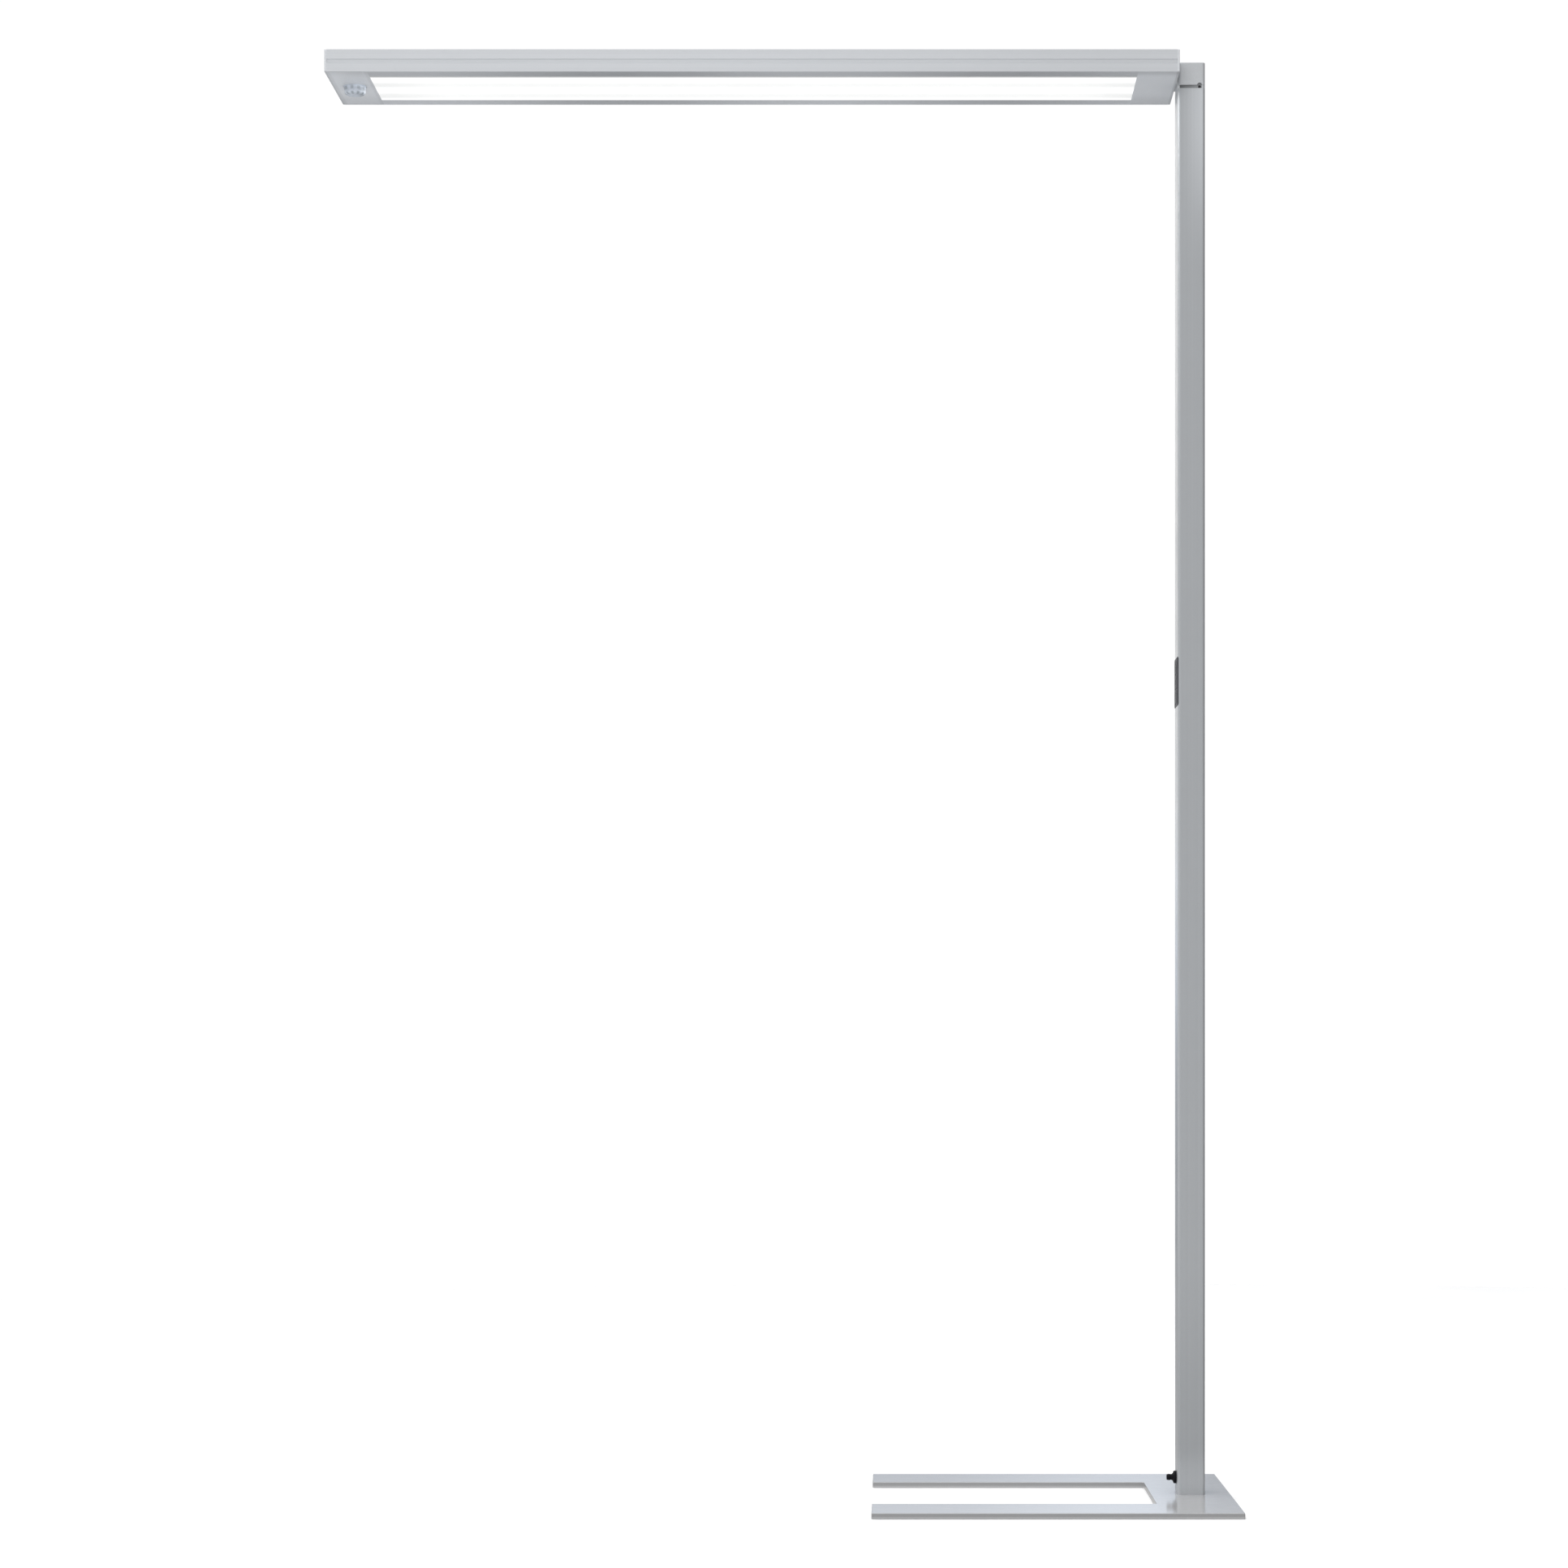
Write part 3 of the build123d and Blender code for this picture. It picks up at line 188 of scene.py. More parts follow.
# ------------------------------------------------------------------ finishes
def silver_coat(name, colour, rough=0.36, metal=0.3, peel=1.0, painted_light_zones=None):
    """Silver lacquer: fine aluminium flakes, a slight orange peel, faint cloudiness."""
    g = Graph(name)
    g.set(Metallic=metal, IOR=1.48, Coat_Weight=0.12, Coat_Roughness=0.22)
    cloud = g.noise(scale=4.0, detail=4.0)
    flake = g.cells(scale=2600.0, output="Color")
    flake = g.axes(flake)[0]
    base = g.blend(cloud, shade(colour, 0.965), shade(colour, 1.035))
    base = g.blend(g.span(flake, 0.55, 1.0, 0.0, 0.5), base, shade(colour, 1.22))
    speck = g.span(g.noise(scale=160.0, detail=2.0), 0.73, 0.78, 0.0, 0.18)
    base = g.blend(speck, base, shade(colour, 0.7))
    # painted light and shade for the part, where given
    if painted_light_zones:
        base = painted_light_zones(g, base)
    wide = g.noise(scale=9.0, detail=5.0, rough=0.65)
    r = g.span(wide, 0.3, 0.7, rough - 0.05, rough + 0.06)
    r = g.math("ADD", r, g.span(g.noise(scale=700.0, detail=2.0), 0.3, 0.7, -0.03, 0.03))
    fine = g.bump(g.noise(scale=620.0, detail=3.0), 0.10 * peel, 0.0002)
    normal = g.bump(g.noise(scale=90.0, detail=2.0), 0.05 * peel, 0.0006, fine)
    return g.finish(base, r, normal)


def extrusion(name, colour, along, rough=0.36, metal=0.4, grain=1.0, painted_light_zones=None):
    """Anodised extrusion: die lines along its length, satin etch, faint handling marks."""
    g = Graph(name)
    g.set(Metallic=metal, IOR=1.5)
    long = {"X": (0.35, 1, 1), "Z": (1, 1, 0.35)}[along]
    lines = g.noise(g.stretch(tuple(s * (1.0 if s < 1 else 900.0) for s in long)), detail=3.0)
    bands = g.noise(g.stretch(tuple(s * (0.5 if s < 1 else 110.0) for s in long)), detail=3.0)
    etch = g.noise(scale=1500.0, detail=2.0)
    cloud = g.noise(scale=3.2, detail=4.0)
    base = g.blend(g.span(bands, 0.3, 0.7), shade(colour, 0.972), shade(colour, 1.028))
    base = g.blend(g.span(lines, 0.35, 0.7, 0.0, 0.6 * grain), base, shade(colour, 0.955))
    base = g.blend(g.span(etch, 0.45, 0.8, 0.0, 0.35), base, shade(colour, 1.09))
    base = g.blend(g.span(cloud, 0.35, 0.75, 0.0, 0.5), base, shade(colour, 0.985))
    # painted light and shade for the part, where given
    if painted_light_zones:
        base = painted_light_zones(g, base)
    smear = g.noise(scale=14.0, detail=5.0, rough=0.7, twist=0.6)
    r = g.span(smear, 0.3, 0.75, rough - 0.04, rough + 0.07)
    r = g.math("ADD", r, g.span(lines, 0.3, 0.7, -0.04, 0.04))
    normal = g.bump(lines, 0.10 * grain, 0.0002)
    normal = g.bump(etch, 0.06, 0.0002, normal)
    return g.finish(base, r, normal)


def head_painted_shade(g, base):
    """Painted shade on the head: the faces that look down are darkened as a painted reflection of a darker floor,
    unevenly along the length and more on the near side; the front is darkened towards the right end.
    """
    x, y, z = g.axes()
    under = g.span(z, 1.91910, 1.91935, 1.0, 0.0)
    # painted reflection: the darkening rises and falls along the length
    wave = g.math("COSINE", g.math("MULTIPLY", g.math("ADD", x, 1.056), 2 * math.pi / 0.545))
    tone = g.span(wave, -1.0, 1.0, UNDER_SHADE_LOW, UNDER_SHADE_HIGH, smooth=False)
    tone = g.math("MULTIPLY", tone, g.span(y, -0.02, 0.02, 1.0, 1.20))
    tone = g.math("ADD", 1.0, g.math("MULTIPLY", under, g.math("SUBTRACT", tone, 1.0)))
    # painted shade: the front darkens by up to 7 % towards the right end
    front = g.math("MULTIPLY", g.math("SUBTRACT", 1.0, under), g.span(x, -0.50, -0.08, 0.0, 0.07))
    return g.scale(base, g.math("SUBTRACT", tone, front))


def end_painted_light(g, base):
    """Painted light and shade on the end caps' underside: it is lifted, more at the left end, and darkened towards
    both long sides, with painted shade along the rounded outer edges and in thin bands beside the left cap's rims
    and along the far side.
    """
    x, y, z = g.axes()
    # painted shade: darker towards the near side, more at the right end, and towards the far side
    near = g.math("MULTIPLY", g.span(y, -0.086, -0.058, 1.0, 0.0), g.span(x, -1.1, -0.1, 0.10, 0.27, smooth=False))
    far = g.math("MULTIPLY", g.span(y, 0.015, 0.080, 0.0, 1.0), 0.20)
    # painted light: the underside is lifted by 15 % at the left end and 3 % at the right
    tone = g.math("SUBTRACT", g.math("SUBTRACT", g.span(x, -1.1, -0.1, 1.15, 1.03), near), far)
    under = g.span(z, 1.91910, 1.91935, 1.0, 0.0)
    tone = g.math("ADD", 1.0, g.math("MULTIPLY", under, g.math("SUBTRACT", tone, 1.0)))
    # painted shade along the rounded outer edges
    edge = g.math("MULTIPLY", g.span(x, -1.1626, -1.1620, 0.86, 1.0), g.span(x, -0.0240, -0.0234, 1.0, 0.80))
    edge = g.math("MAXIMUM", edge, g.span(z, 1.9192, 1.9206))
    # painted shade in thin bands beside the left cap's rims and along the far side
    rim_shade = g.math("MULTIPLY", g.span(x, -1.1602, -1.1570, 0.88, 1.0), g.span(x, -1.1140, -1.1110, 1.0, 0.88))
    rim_shade = g.math("MAXIMUM", rim_shade, g.span(x, -1.1070, -1.1060))
    rim_shade = g.math("MULTIPLY", rim_shade, g.span(y, 0.0790, 0.0825, 1.0, 0.90))
    rim_shade = g.math("ADD", 1.0, g.math("MULTIPLY", under, g.math("SUBTRACT", rim_shade, 1.0)))
    return g.scale(base, g.math("MULTIPLY", g.math("MULTIPLY", tone, edge), rim_shade))


def mast_painted_light(g, base):
    """Painted light and shade on the mast: a painted pool of light on the front under the cap, mostly on the
    right; painted shade on the left face under the head and a painted highlight on it lower down; painted shade on
    the right corner; darker a little above the foot, and painted bounce light from the plate at the very foot.
    """
    x, y, z = g.axes()
    # painted light: the front lightens under the cap, mostly towards the right
    top = g.span(z, 1.66, 1.90)
    side = g.span(x, -0.016, 0.017, 0.05, 0.50, smooth=False)
    side = g.math("MULTIPLY", side, g.span(x, 0.0152, 0.0168, 1.0, 0.15))
    tone = g.math("ADD", 1.0, g.math("MULTIPLY", top, side))
    # painted shade on the left face under the head
    left = g.math("MULTIPLY", g.span(x, -0.0180, -0.0160, 1.0, 0.0), g.span(z, 1.60, 1.86, 0.0, 0.20))
    tone = g.math("SUBTRACT", tone, left)
    # painted highlight on the left face, strongest below mid-height
    low = g.math("SUBTRACT", g.span(z, 0.9, 1.3, 0.20, 0.05), g.span(z, 0.2, 0.5, 0.09, 0.0))
    tone = g.math("ADD", tone, g.math("MULTIPLY", g.span(x, -0.0180, -0.0160, 1.0, 0.0), low))
    # painted shade along the right corner, deepest low down
    painted_dimming = g.math("ADD", g.span(z, 0.2, 0.9, 0.23, 0.07), g.span(z, 1.4, 1.7, 0.0, 0.05))
    tone = g.math("SUBTRACT", tone, g.math("MULTIPLY", painted_dimming, g.span(x, 0.0150, 0.0168)))
    # darker a little above the foot
    tone = g.math("ADD", tone, g.span(z, 0.12, 0.34, -0.09, 0.0))
    # painted light: bounce from the plate lightens the very foot
    tone = g.math("ADD", tone, g.span(z, 0.02, 0.08, 0.28, 0.0))
    return g.scale(base, tone)


def cap_painted_light(g, base):
    """Painted shade in the spacer's front window and the cap's driver notch, less towards the right; painted shade
    on the right corner and painted light towards the left of the front.
    """
    x, y, z = g.axes()
    # painted shade in the recessed window and in the notch
    deep = g.math("MULTIPLY", g.span(y, -0.0265, -0.0261), g.span(y, -0.0242, -0.0238, 1.0, 0.0))
    across = g.math("MULTIPLY", g.span(x, -0.01612, -0.01604), g.span(x, 0.01382, 0.01392, 1.0, 0.0))
    low = g.math("MULTIPLY", across, g.span(z, 1.91695, 1.91705, 1.0, 0.0))
    window_shade = g.math("MULTIPLY", g.math("MULTIPLY", deep, low), g.span(x, -0.016, 0.010, 0.73, 0.36, smooth=False))
    round_x = g.math("MULTIPLY", g.span(x, 0.00772, 0.00786), g.span(x, 0.01394, 0.01408, 1.0, 0.0))
    round_z = g.math("MULTIPLY", g.span(z, 1.9171, 1.9172), g.span(z, 1.9203, 1.9205, 1.0, 0.0))
    notch_shade = g.math("MULTIPLY", g.math("MULTIPLY", deep, round_x), g.math("MULTIPLY", round_z, 0.52))
    # painted shade on the right corner, painted light towards the left
    edge = g.math("MULTIPLY", g.span(x, 0.0150, 0.0168, 1.0, 0.88), g.span(x, -0.014, 0.004, 1.09, 1.0))
    return g.scale(base, g.math("MULTIPLY", edge, g.math("SUBTRACT", 1.0, g.math("MAXIMUM", window_shade, notch_shade))))


def plate_coat(name, colour):
    """The base plate's powder coat: satin, with a fine even texture and light scuffs, and painted light: a painted
    reflection darkens the top towards the left, the cut edges carry painted shade, and a painted reflection of the
    floor lightens their foot.
    """
    g = Graph(name)
    g.set(Metallic=0.0, IOR=PLATE_IOR, Coat_Weight=0.0)
    cloud = g.noise(scale=5.0, detail=4.0)
    flake = g.axes(g.cells(scale=2200.0, output="Color"))[0]
    base = g.blend(cloud, shade(colour, 0.97), shade(colour, 1.03))
    base = g.blend(g.span(flake, 0.6, 1.0, 0.0, 0.4), base, shade(colour, 1.2))
    dust = g.span(g.noise(scale=38.0, detail=6.0, rough=0.75), 0.56, 0.8, 0.0, 0.14)
    base = g.blend(dust, base, (0.50, 0.50, 0.50))
    x, y, z = g.axes()
    # painted shade on the cut edges, deeper on the near side, and a painted reflection darkening the top towards
    # the left
    edge = g.math("MULTIPLY", g.span(y, -0.22, 0.12, 0.96, 1.10), EDGE_SHADE)
    top = g.span(z, 0.0072, 0.0077)
    painted_dimming = g.span(x, -0.43, -0.12, 0.925, 1.0)
    base = g.scale(base, g.math("ADD", g.math("MULTIPLY", top, painted_dimming), g.math("MULTIPLY", g.math("SUBTRACT", 1.0, top), edge)))
    # painted reflection of the floor: the lowest few millimetres are lightened
    base = g.scale(base, g.span(z, 0.0008, 0.0042, 1.58, 1.0))
    scuff = g.noise(g.stretch((26.0, 170.0, 60.0)), detail=5.0, rough=0.7, twist=1.2)
    r = g.span(scuff, 0.45, 0.8, PLATE_ROUGH, PLATE_ROUGH + 0.07)
    r = g.math("ADD", r, g.span(dust, 0.0, 0.14, 0.0, 0.06))
    normal = g.bump(g.noise(scale=520.0, detail=3.0), 0.03, 0.0002)
    return g.finish(base, r, normal)


def moulded(name, colour, rough=0.5, grain=420.0, depth=0.25, coat=0.0, gloss=0.5):
    """Spark-eroded plastic: fine leather-like grain, dusty high spots."""
    g = Graph(name)
    g.set(Metallic=0.0, IOR=1.5, Coat_Weight=coat, Coat_Roughness=0.25, Specular_IOR_Level=gloss)
    skin = g.cells(scale=grain, feature="SMOOTH_F1")
    mottle = g.noise(scale=26.0, detail=5.0, rough=0.65)
    base = g.blend(g.span(mottle, 0.3, 0.75), shade(colour, 0.88), shade(colour, 1.14))
    base = g.blend(g.span(skin, 0.25, 0.6, 0.0, 0.25), base, shade(colour, 1.35))
    r = g.span(g.noise(scale=60.0, detail=4.0), 0.3, 0.7, rough - 0.06, rough + 0.07)
    normal = g.bump(skin, depth, 0.0002)
    return g.finish(base, r, normal)


def turned_steel(name, colour, rough=0.32, metal=0.85, streak=True):
    """Plated or ground steel: short grain, slightly uneven plating."""
    g = Graph(name)
    g.set(Metallic=metal, IOR=1.6)
    grain = g.noise(g.stretch((900.0, 900.0, 160.0) if streak else (700.0,) * 3), detail=3.0)
    stain = g.noise(scale=70.0, detail=5.0, rough=0.7)
    base = g.blend(g.span(stain, 0.35, 0.75), shade(colour, 1.06), shade(colour, 0.84))
    base = g.blend(g.span(grain, 0.3, 0.7, 0.0, 0.4), base, shade(colour, 0.9))
    r = g.span(stain, 0.3, 0.75, rough - 0.05, rough + 0.12)
    return g.finish(base, r, g.bump(grain, 0.15, 0.0001))


def rubber(name, colour):
    g = Graph(name)
    g.set(Metallic=0.0, IOR=1.45)
    skin = g.noise(scale=300.0, detail=4.0, rough=0.7)
    bloom = g.noise(scale=40.0, detail=5.0)
    base = g.blend(g.span(bloom, 0.35, 0.8), colour, shade(colour, 1.9))
    r = g.span(skin, 0.3, 0.7, 0.72, 0.92)
    return g.finish(base, r, g.bump(skin, 0.3, 0.0003))


def glowing_panel(name):
    """Lit opal sheet: the two rows of diodes behind it leave slightly dimmer bands between them."""
    g = Graph(name)
    g.set(IOR=1.49, Metallic=0.0)
    x, y, z = g.axes()
    # the rows show through the sheet a little to the front of where they are
    wave = g.math("COSINE", g.math("MULTIPLY", g.math("SUBTRACT", y, 0.0105), 2 * math.pi / 0.056))
    diodes = g.math("COSINE", g.math("MULTIPLY", x, 2 * math.pi / 0.0315))
    level = g.span(wave, -1.0, 1.0, PANEL_LOW, PANEL_HIGH)
    level = g.math("SUBTRACT", level, g.span(y, 0.030, 0.060, 0.0, 0.018))
    level = g.math("SUBTRACT", level, g.span(y, -0.0636, -0.0500, 0.52, 0.0))
    ends = g.math("MAXIMUM", g.span(x, -1.108, -1.005, 1.0, 0.0), g.span(x, -0.150, -0.076))
    dim = g.math("ADD", g.span(wave, -1.0, 0.6, 0.075, 0.0), g.span(y, 0.036, 0.060, 0.0, 0.05))
    level = g.math("SUBTRACT", level, g.math("MULTIPLY", ends, dim))
    level = g.math("ADD", level, g.math("MULTIPLY", diodes, 0.004))
    cloud = g.noise(scale=7.0, detail=3.0)
    level = g.math("ADD", level, g.span(cloud, 0.3, 0.7, -0.006, 0.006))
    tint = g.blend(g.span(wave, -1.0, 1.0), (0.995, 1.0, 0.99), (1.0, 1.0, 1.0))
    g.link(tint, g.shader.inputs["Emission Color"])
    g.link(level, g.shader.inputs["Emission Strength"])
    prism = g.cells(scale=700.0, feature="SMOOTH_F1", spread=0.0)
    base = g.blend(g.span(cloud, 0.3, 0.7), (0.30, 0.305, 0.305), (0.32, 0.325, 0.325))
    r = g.span(g.noise(scale=120.0, detail=3.0), 0.3, 0.7, 0.42, 0.52)
    return g.finish(base, r, g.bump(prism, 0.12, 0.0002))


def facet_plastic(name, clear, deep):
    """The sensor's lens: milky between the lenslets, darker through each of them, with fine rings."""
    g = Graph(name)
    g.set(IOR=1.49, Metallic=0.0, Specular_IOR_Level=0.22)
    x, y, z = g.axes()
    turn = g.math("ARCTAN2", g.math("SUBTRACT", y, SENSOR_Y * MM), g.math("SUBTRACT", x, SENSOR_X * MM))
    turn = g.math("SUBTRACT", turn, LENS_TURN)
    spoke = g.math("MULTIPLY", g.math("COSINE", g.math("MULTIPLY", turn, FACETS)), -1.0)
    spoke = g.span(spoke, -0.35, 0.75)
    upper = g.math("MULTIPLY", g.span(z, 1.9122, 1.9136), g.span(z, 1.9164, 1.9178, 1.0, 0.0))
    lower = g.math("MULTIPLY", g.span(z, 1.9067, 1.9073), g.span(z, 1.9090, 1.9104, 1.0, 0.0))
    inside = g.math("MULTIPLY", spoke, g.math("ADD", g.math("MULTIPLY", upper, 0.75), lower, clamp=True))
    cloud = g.noise(scale=240.0, detail=3.0)
    base = g.blend(g.span(cloud, 0.3, 0.7), shade(clear, 0.93), shade(clear, 1.06))
    base = g.blend(g.math("MULTIPLY", inside, 0.9), base, deep)
    # the outermost lenslet of the top row is darker still
    corner = g.math("MULTIPLY", g.span(x, SENSOR_X * MM - 0.0125, SENSOR_X * MM - 0.0085, 1.0, 0.0), upper)
    base = g.blend(g.math("MULTIPLY", corner, 0.45), base, shade(deep, 0.6))
    # painted shade on the lower side towards the panel, offsetting the panel's light there, and painted light near
    # the flange, most on that side
    panel_side_shade = g.math("MULTIPLY", g.span(x, SENSOR_X * MM - 0.001, SENSOR_X * MM + 0.013, 0.0, 0.26), g.span(z, 1.9120, 1.9165, 1.0, 0.0))
    flange_painted_light = g.math("MULTIPLY", g.span(x, SENSOR_X * MM - 0.004, SENSOR_X * MM + 0.006, 0.12, 0.42), g.span(z, 1.9140, 1.9170))
    base = g.scale(base, g.math("ADD", g.math("SUBTRACT", 1.0, panel_side_shade), flange_painted_light))
    rings = g.math("SINE", g.math("MULTIPLY", z, 2 * math.pi / 0.00045))
    r = g.span(cloud, 0.3, 0.7, 0.44, 0.56)
    return g.finish(base, r, g.bump(rings, 0.04, 0.0001))


def circuit_board(name, colour, track):
    g = Graph(name)
    g.set(IOR=1.5)
    weave = g.cells(g.stretch((420.0, 420.0, 420.0)), feature="DISTANCE_TO_EDGE", spread=0.0)
    lines = g.span(g.noise(g.stretch((220.0, 220.0, 220.0)), detail=0.0), 0.49, 0.51)
    base = g.blend(lines, colour, track)
    r = g.span(weave, 0.0, 0.4, 0.34, 0.5)
    return g.finish(base, r, g.bump(lines, 0.3, 0.0001))


def sheathing(name, colour):
    g = Graph(name)
    g.set(IOR=1.45)
    dirt = g.noise(scale=45.0, detail=5.0, rough=0.7)
    base = g.blend(g.span(dirt, 0.35, 0.8), colour, shade(colour, 0.8))
    r = g.span(dirt, 0.3, 0.7, 0.45, 0.62)
    return g.finish(base, r, g.bump(g.noise(scale=500.0), 0.15, 0.0002))


PROFILE = (0.585, 0.603, 0.628)
COAT = (0.372, 0.386, 0.402)
# painted light: the mast's silver made about 26 % lighter for the cap parts, to offset the shade the head casts on
# them
CAP_LIT = (0.470, 0.485, 0.502)
PLATE = (0.408, 0.411, 0.418)
# the last value sets the painted shade on the plate's cut edges
PLATE_IOR, PLATE_ROUGH, EDGE_SHADE = 1.5, 0.14, 0.63
# range of the painted shade on the head's underside, darkest and lightest
UNDER_SHADE_LOW, UNDER_SHADE_HIGH = 0.56, 0.84
PANEL_LOW, PANEL_HIGH = 0.68, 0.86
SENSOR_X, SENSOR_Y, FACETS, LENS_TURN = -1134.7, -10.5, 10, math.radians(-9.0)

finish = {
    "profile": extrusion("head_extrusion", PROFILE, "X", painted_light_zones=head_painted_shade),
    "sheet": extrusion("rolled_sheet", PROFILE, "X"),
    "mast": extrusion("mast_extrusion", COAT, "Z", painted_light_zones=mast_painted_light),
    "cap": silver_coat("silver_lacquer", CAP_LIT, painted_light_zones=cap_painted_light),
    "end": silver_coat("light_silver_lacquer", PROFILE, painted_light_zones=end_painted_light),
    "plate": plate_coat("plate_powder_coat", PLATE),
    "steel": turned_steel("zinc_plated_steel", (0.50, 0.51, 0.53)),
    "black_steel": turned_steel("black_oxide_steel", (0.035, 0.035, 0.04), rough=0.42, metal=0.6),
    "bright_steel": turned_steel("ground_steel", (0.60, 0.61, 0.63), rough=0.22),
    "bearing": moulded("bearing_polymer", (0.40, 0.41, 0.40), rough=0.34, grain=900.0, depth=0.1),
    "rubber": rubber("black_rubber", (0.018, 0.018, 0.02)),
    "nylon": moulded("black_nylon", (0.0065, 0.0065, 0.009), rough=0.5, grain=700.0, gloss=0.12),
    "keys": moulded("key_plastic", (0.056, 0.058, 0.065), rough=0.55, grain=1100.0, depth=0.15, gloss=0.08),
    "bezel": moulded("bezel_plastic", (0.056, 0.058, 0.065), rough=0.5, grain=800.0, depth=0.12, gloss=0.08),
    "white": moulded("white_moulding", (0.72, 0.73, 0.74), rough=0.5, grain=600.0, depth=0.12),
    "lens": facet_plastic("sensor_lens_plastic", (0.52, 0.565, 0.63), (0.31, 0.345, 0.385)),
    "panel": glowing_panel("lit_opal_panel"),
    "board": circuit_board("white_board", (0.62, 0.65, 0.62), (0.68, 0.70, 0.68)),
    "green": circuit_board("green_board", (0.010, 0.055, 0.022), (0.02, 0.09, 0.04)),
    "lead": sheathing("grey_sheath", (0.50, 0.50, 0.49)),
    "mark": moulded("key_mark_plastic", (0.15, 0.153, 0.16), rough=0.5, grain=1400.0, depth=0.08, gloss=0.1),
}

by_finish = {
    "plate": ["base_plate"],
    "rubber": ["centre_pad", "glide_pads"],
    "mast": ["mast_tube"],
    "steel": [
        "foot_block", "foot_screws", "mast_lock_screws", "cord_grip_screws", "driver_carrier",
        "carrier_screws", "top_block_screws", "pivot_nuts", "mounting_bridge",
        "bridge_profile_screws", "end_cap_screws", "tray_screws",
    ],
    "nylon": ["cord_gland", "gland_nut", "cord_grip", "tact_switches", "control_back"],
    "white": ["mains_terminal", "led_driver", "light_box_ends", "head_terminal"],
    "lead": ["mast_lead", "control_lead", "head_lead"],
    "bezel": ["control_housing"],
    "keys": ["key_power", "key_brighter", "key_dimmer"],
    "green": ["control_board", "sensor_board"],
    "cap": ["top_bearing_block", "swivel_cap", "cap_lid", "swivel_spacer", "neck_collar"],
    "end": ["left_end_cap", "right_end_cap", "sensor_bezel"],
    "bearing": ["swivel_bush", "friction_washer", "thrust_washer"],
    "black_steel": ["stop_pin", "spacer_screw", "arm_bar_screws", "bridge_bar_screws"],
    "bright_steel": ["pivot_tube", "arm_bar", "sensor_element"],
    "profile": ["front_profile", "rear_profile"],
    "sheet": ["top_cover", "led_tray"],
    "panel": ["diffuser"],
    "board": ["led_boards"],
    "lens": ["sensor_lens"],
}
for key, names in by_finish.items():
    for name in names:
        mesh = NODES[name].data
        mesh.materials.clear()
        mesh.materials.append(finish[key])
bare = [n for n in NODES if n not in sum(by_finish.values(), [])]
if bare:
    raise RuntimeError(f"no finish for {bare}")


# ------------------------------------------------------------------ built pieces
def piece(name, bm, material, body):
    bmesh.ops.recalc_face_normals(bm, faces=bm.faces)
    mesh = bpy.data.meshes.new(name)
    bm.to_mesh(mesh)
    bm.free()
    mesh.materials.append(material)
    obj = bpy.data.objects.new(name, mesh)
    scene.collection.objects.link(obj)
    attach(obj, body)
    return obj


def bump_shape(t):
    """1 at 0, smoothly down to 0 at 1 and beyond."""
    t = min(1.0, abs(t))
    return (1.0 - t * t) ** 2


def lens_outline(inset, radius):
    """The CAD lens's outline from the flange down to the end, moved inwards by inset, in mm."""
    tip = (0.0, 1906.2 + inset)
    corner = (13.7 - 0.84 * inset, 1907.4 + inset)
    top = (15.4 - inset, 1919.0)
    points = [(15.4 - inset, z) for z in (1924.0, 1921.6, 1920.0)] + [top]

    def toward(a, b, distance):
        length = math.dist(a, b)
        return tuple(p + (q - p) * distance / length for p, q in zip(a, b))

    # rounding between the side and the end
    a0 = math.atan2(top[1] - corner[1], top[0] - corner[0])
    a1 = math.atan2(tip[1] - corner[1], tip[0] - corner[0])
    half = abs(a1 - a0) / 2
    half = min(half, math.pi - half)
    reach = radius / math.tan(half)
    start, end = toward(corner, top, reach), toward(corner, tip, reach)
    middle = ((start[0] + end[0]) / 2, (start[1] + end[1]) / 2)
    centre = toward(corner, middle, radius / math.sin(half))
    for i in range(1, 10):
        t = i / 10
        points.append((top[0] + (start[0] - top[0]) * t, top[1] + (start[1] - top[1]) * t))
    b0 = math.atan2(start[1] - centre[1], start[0] - centre[0])
    b1 = math.atan2(end[1] - centre[1], end[0] - centre[0])
    for i in range(11):
        b = b0 + (b1 - b0) * i / 10
        points.append((centre[0] + radius * math.cos(b), centre[1] + radius * math.sin(b)))
    for i in range(1, 10):
        t = i / 10
        points.append((end[0] + (tip[0] - end[0]) * t, end[1] + (tip[1] - end[1]) * t))
    return points, tip


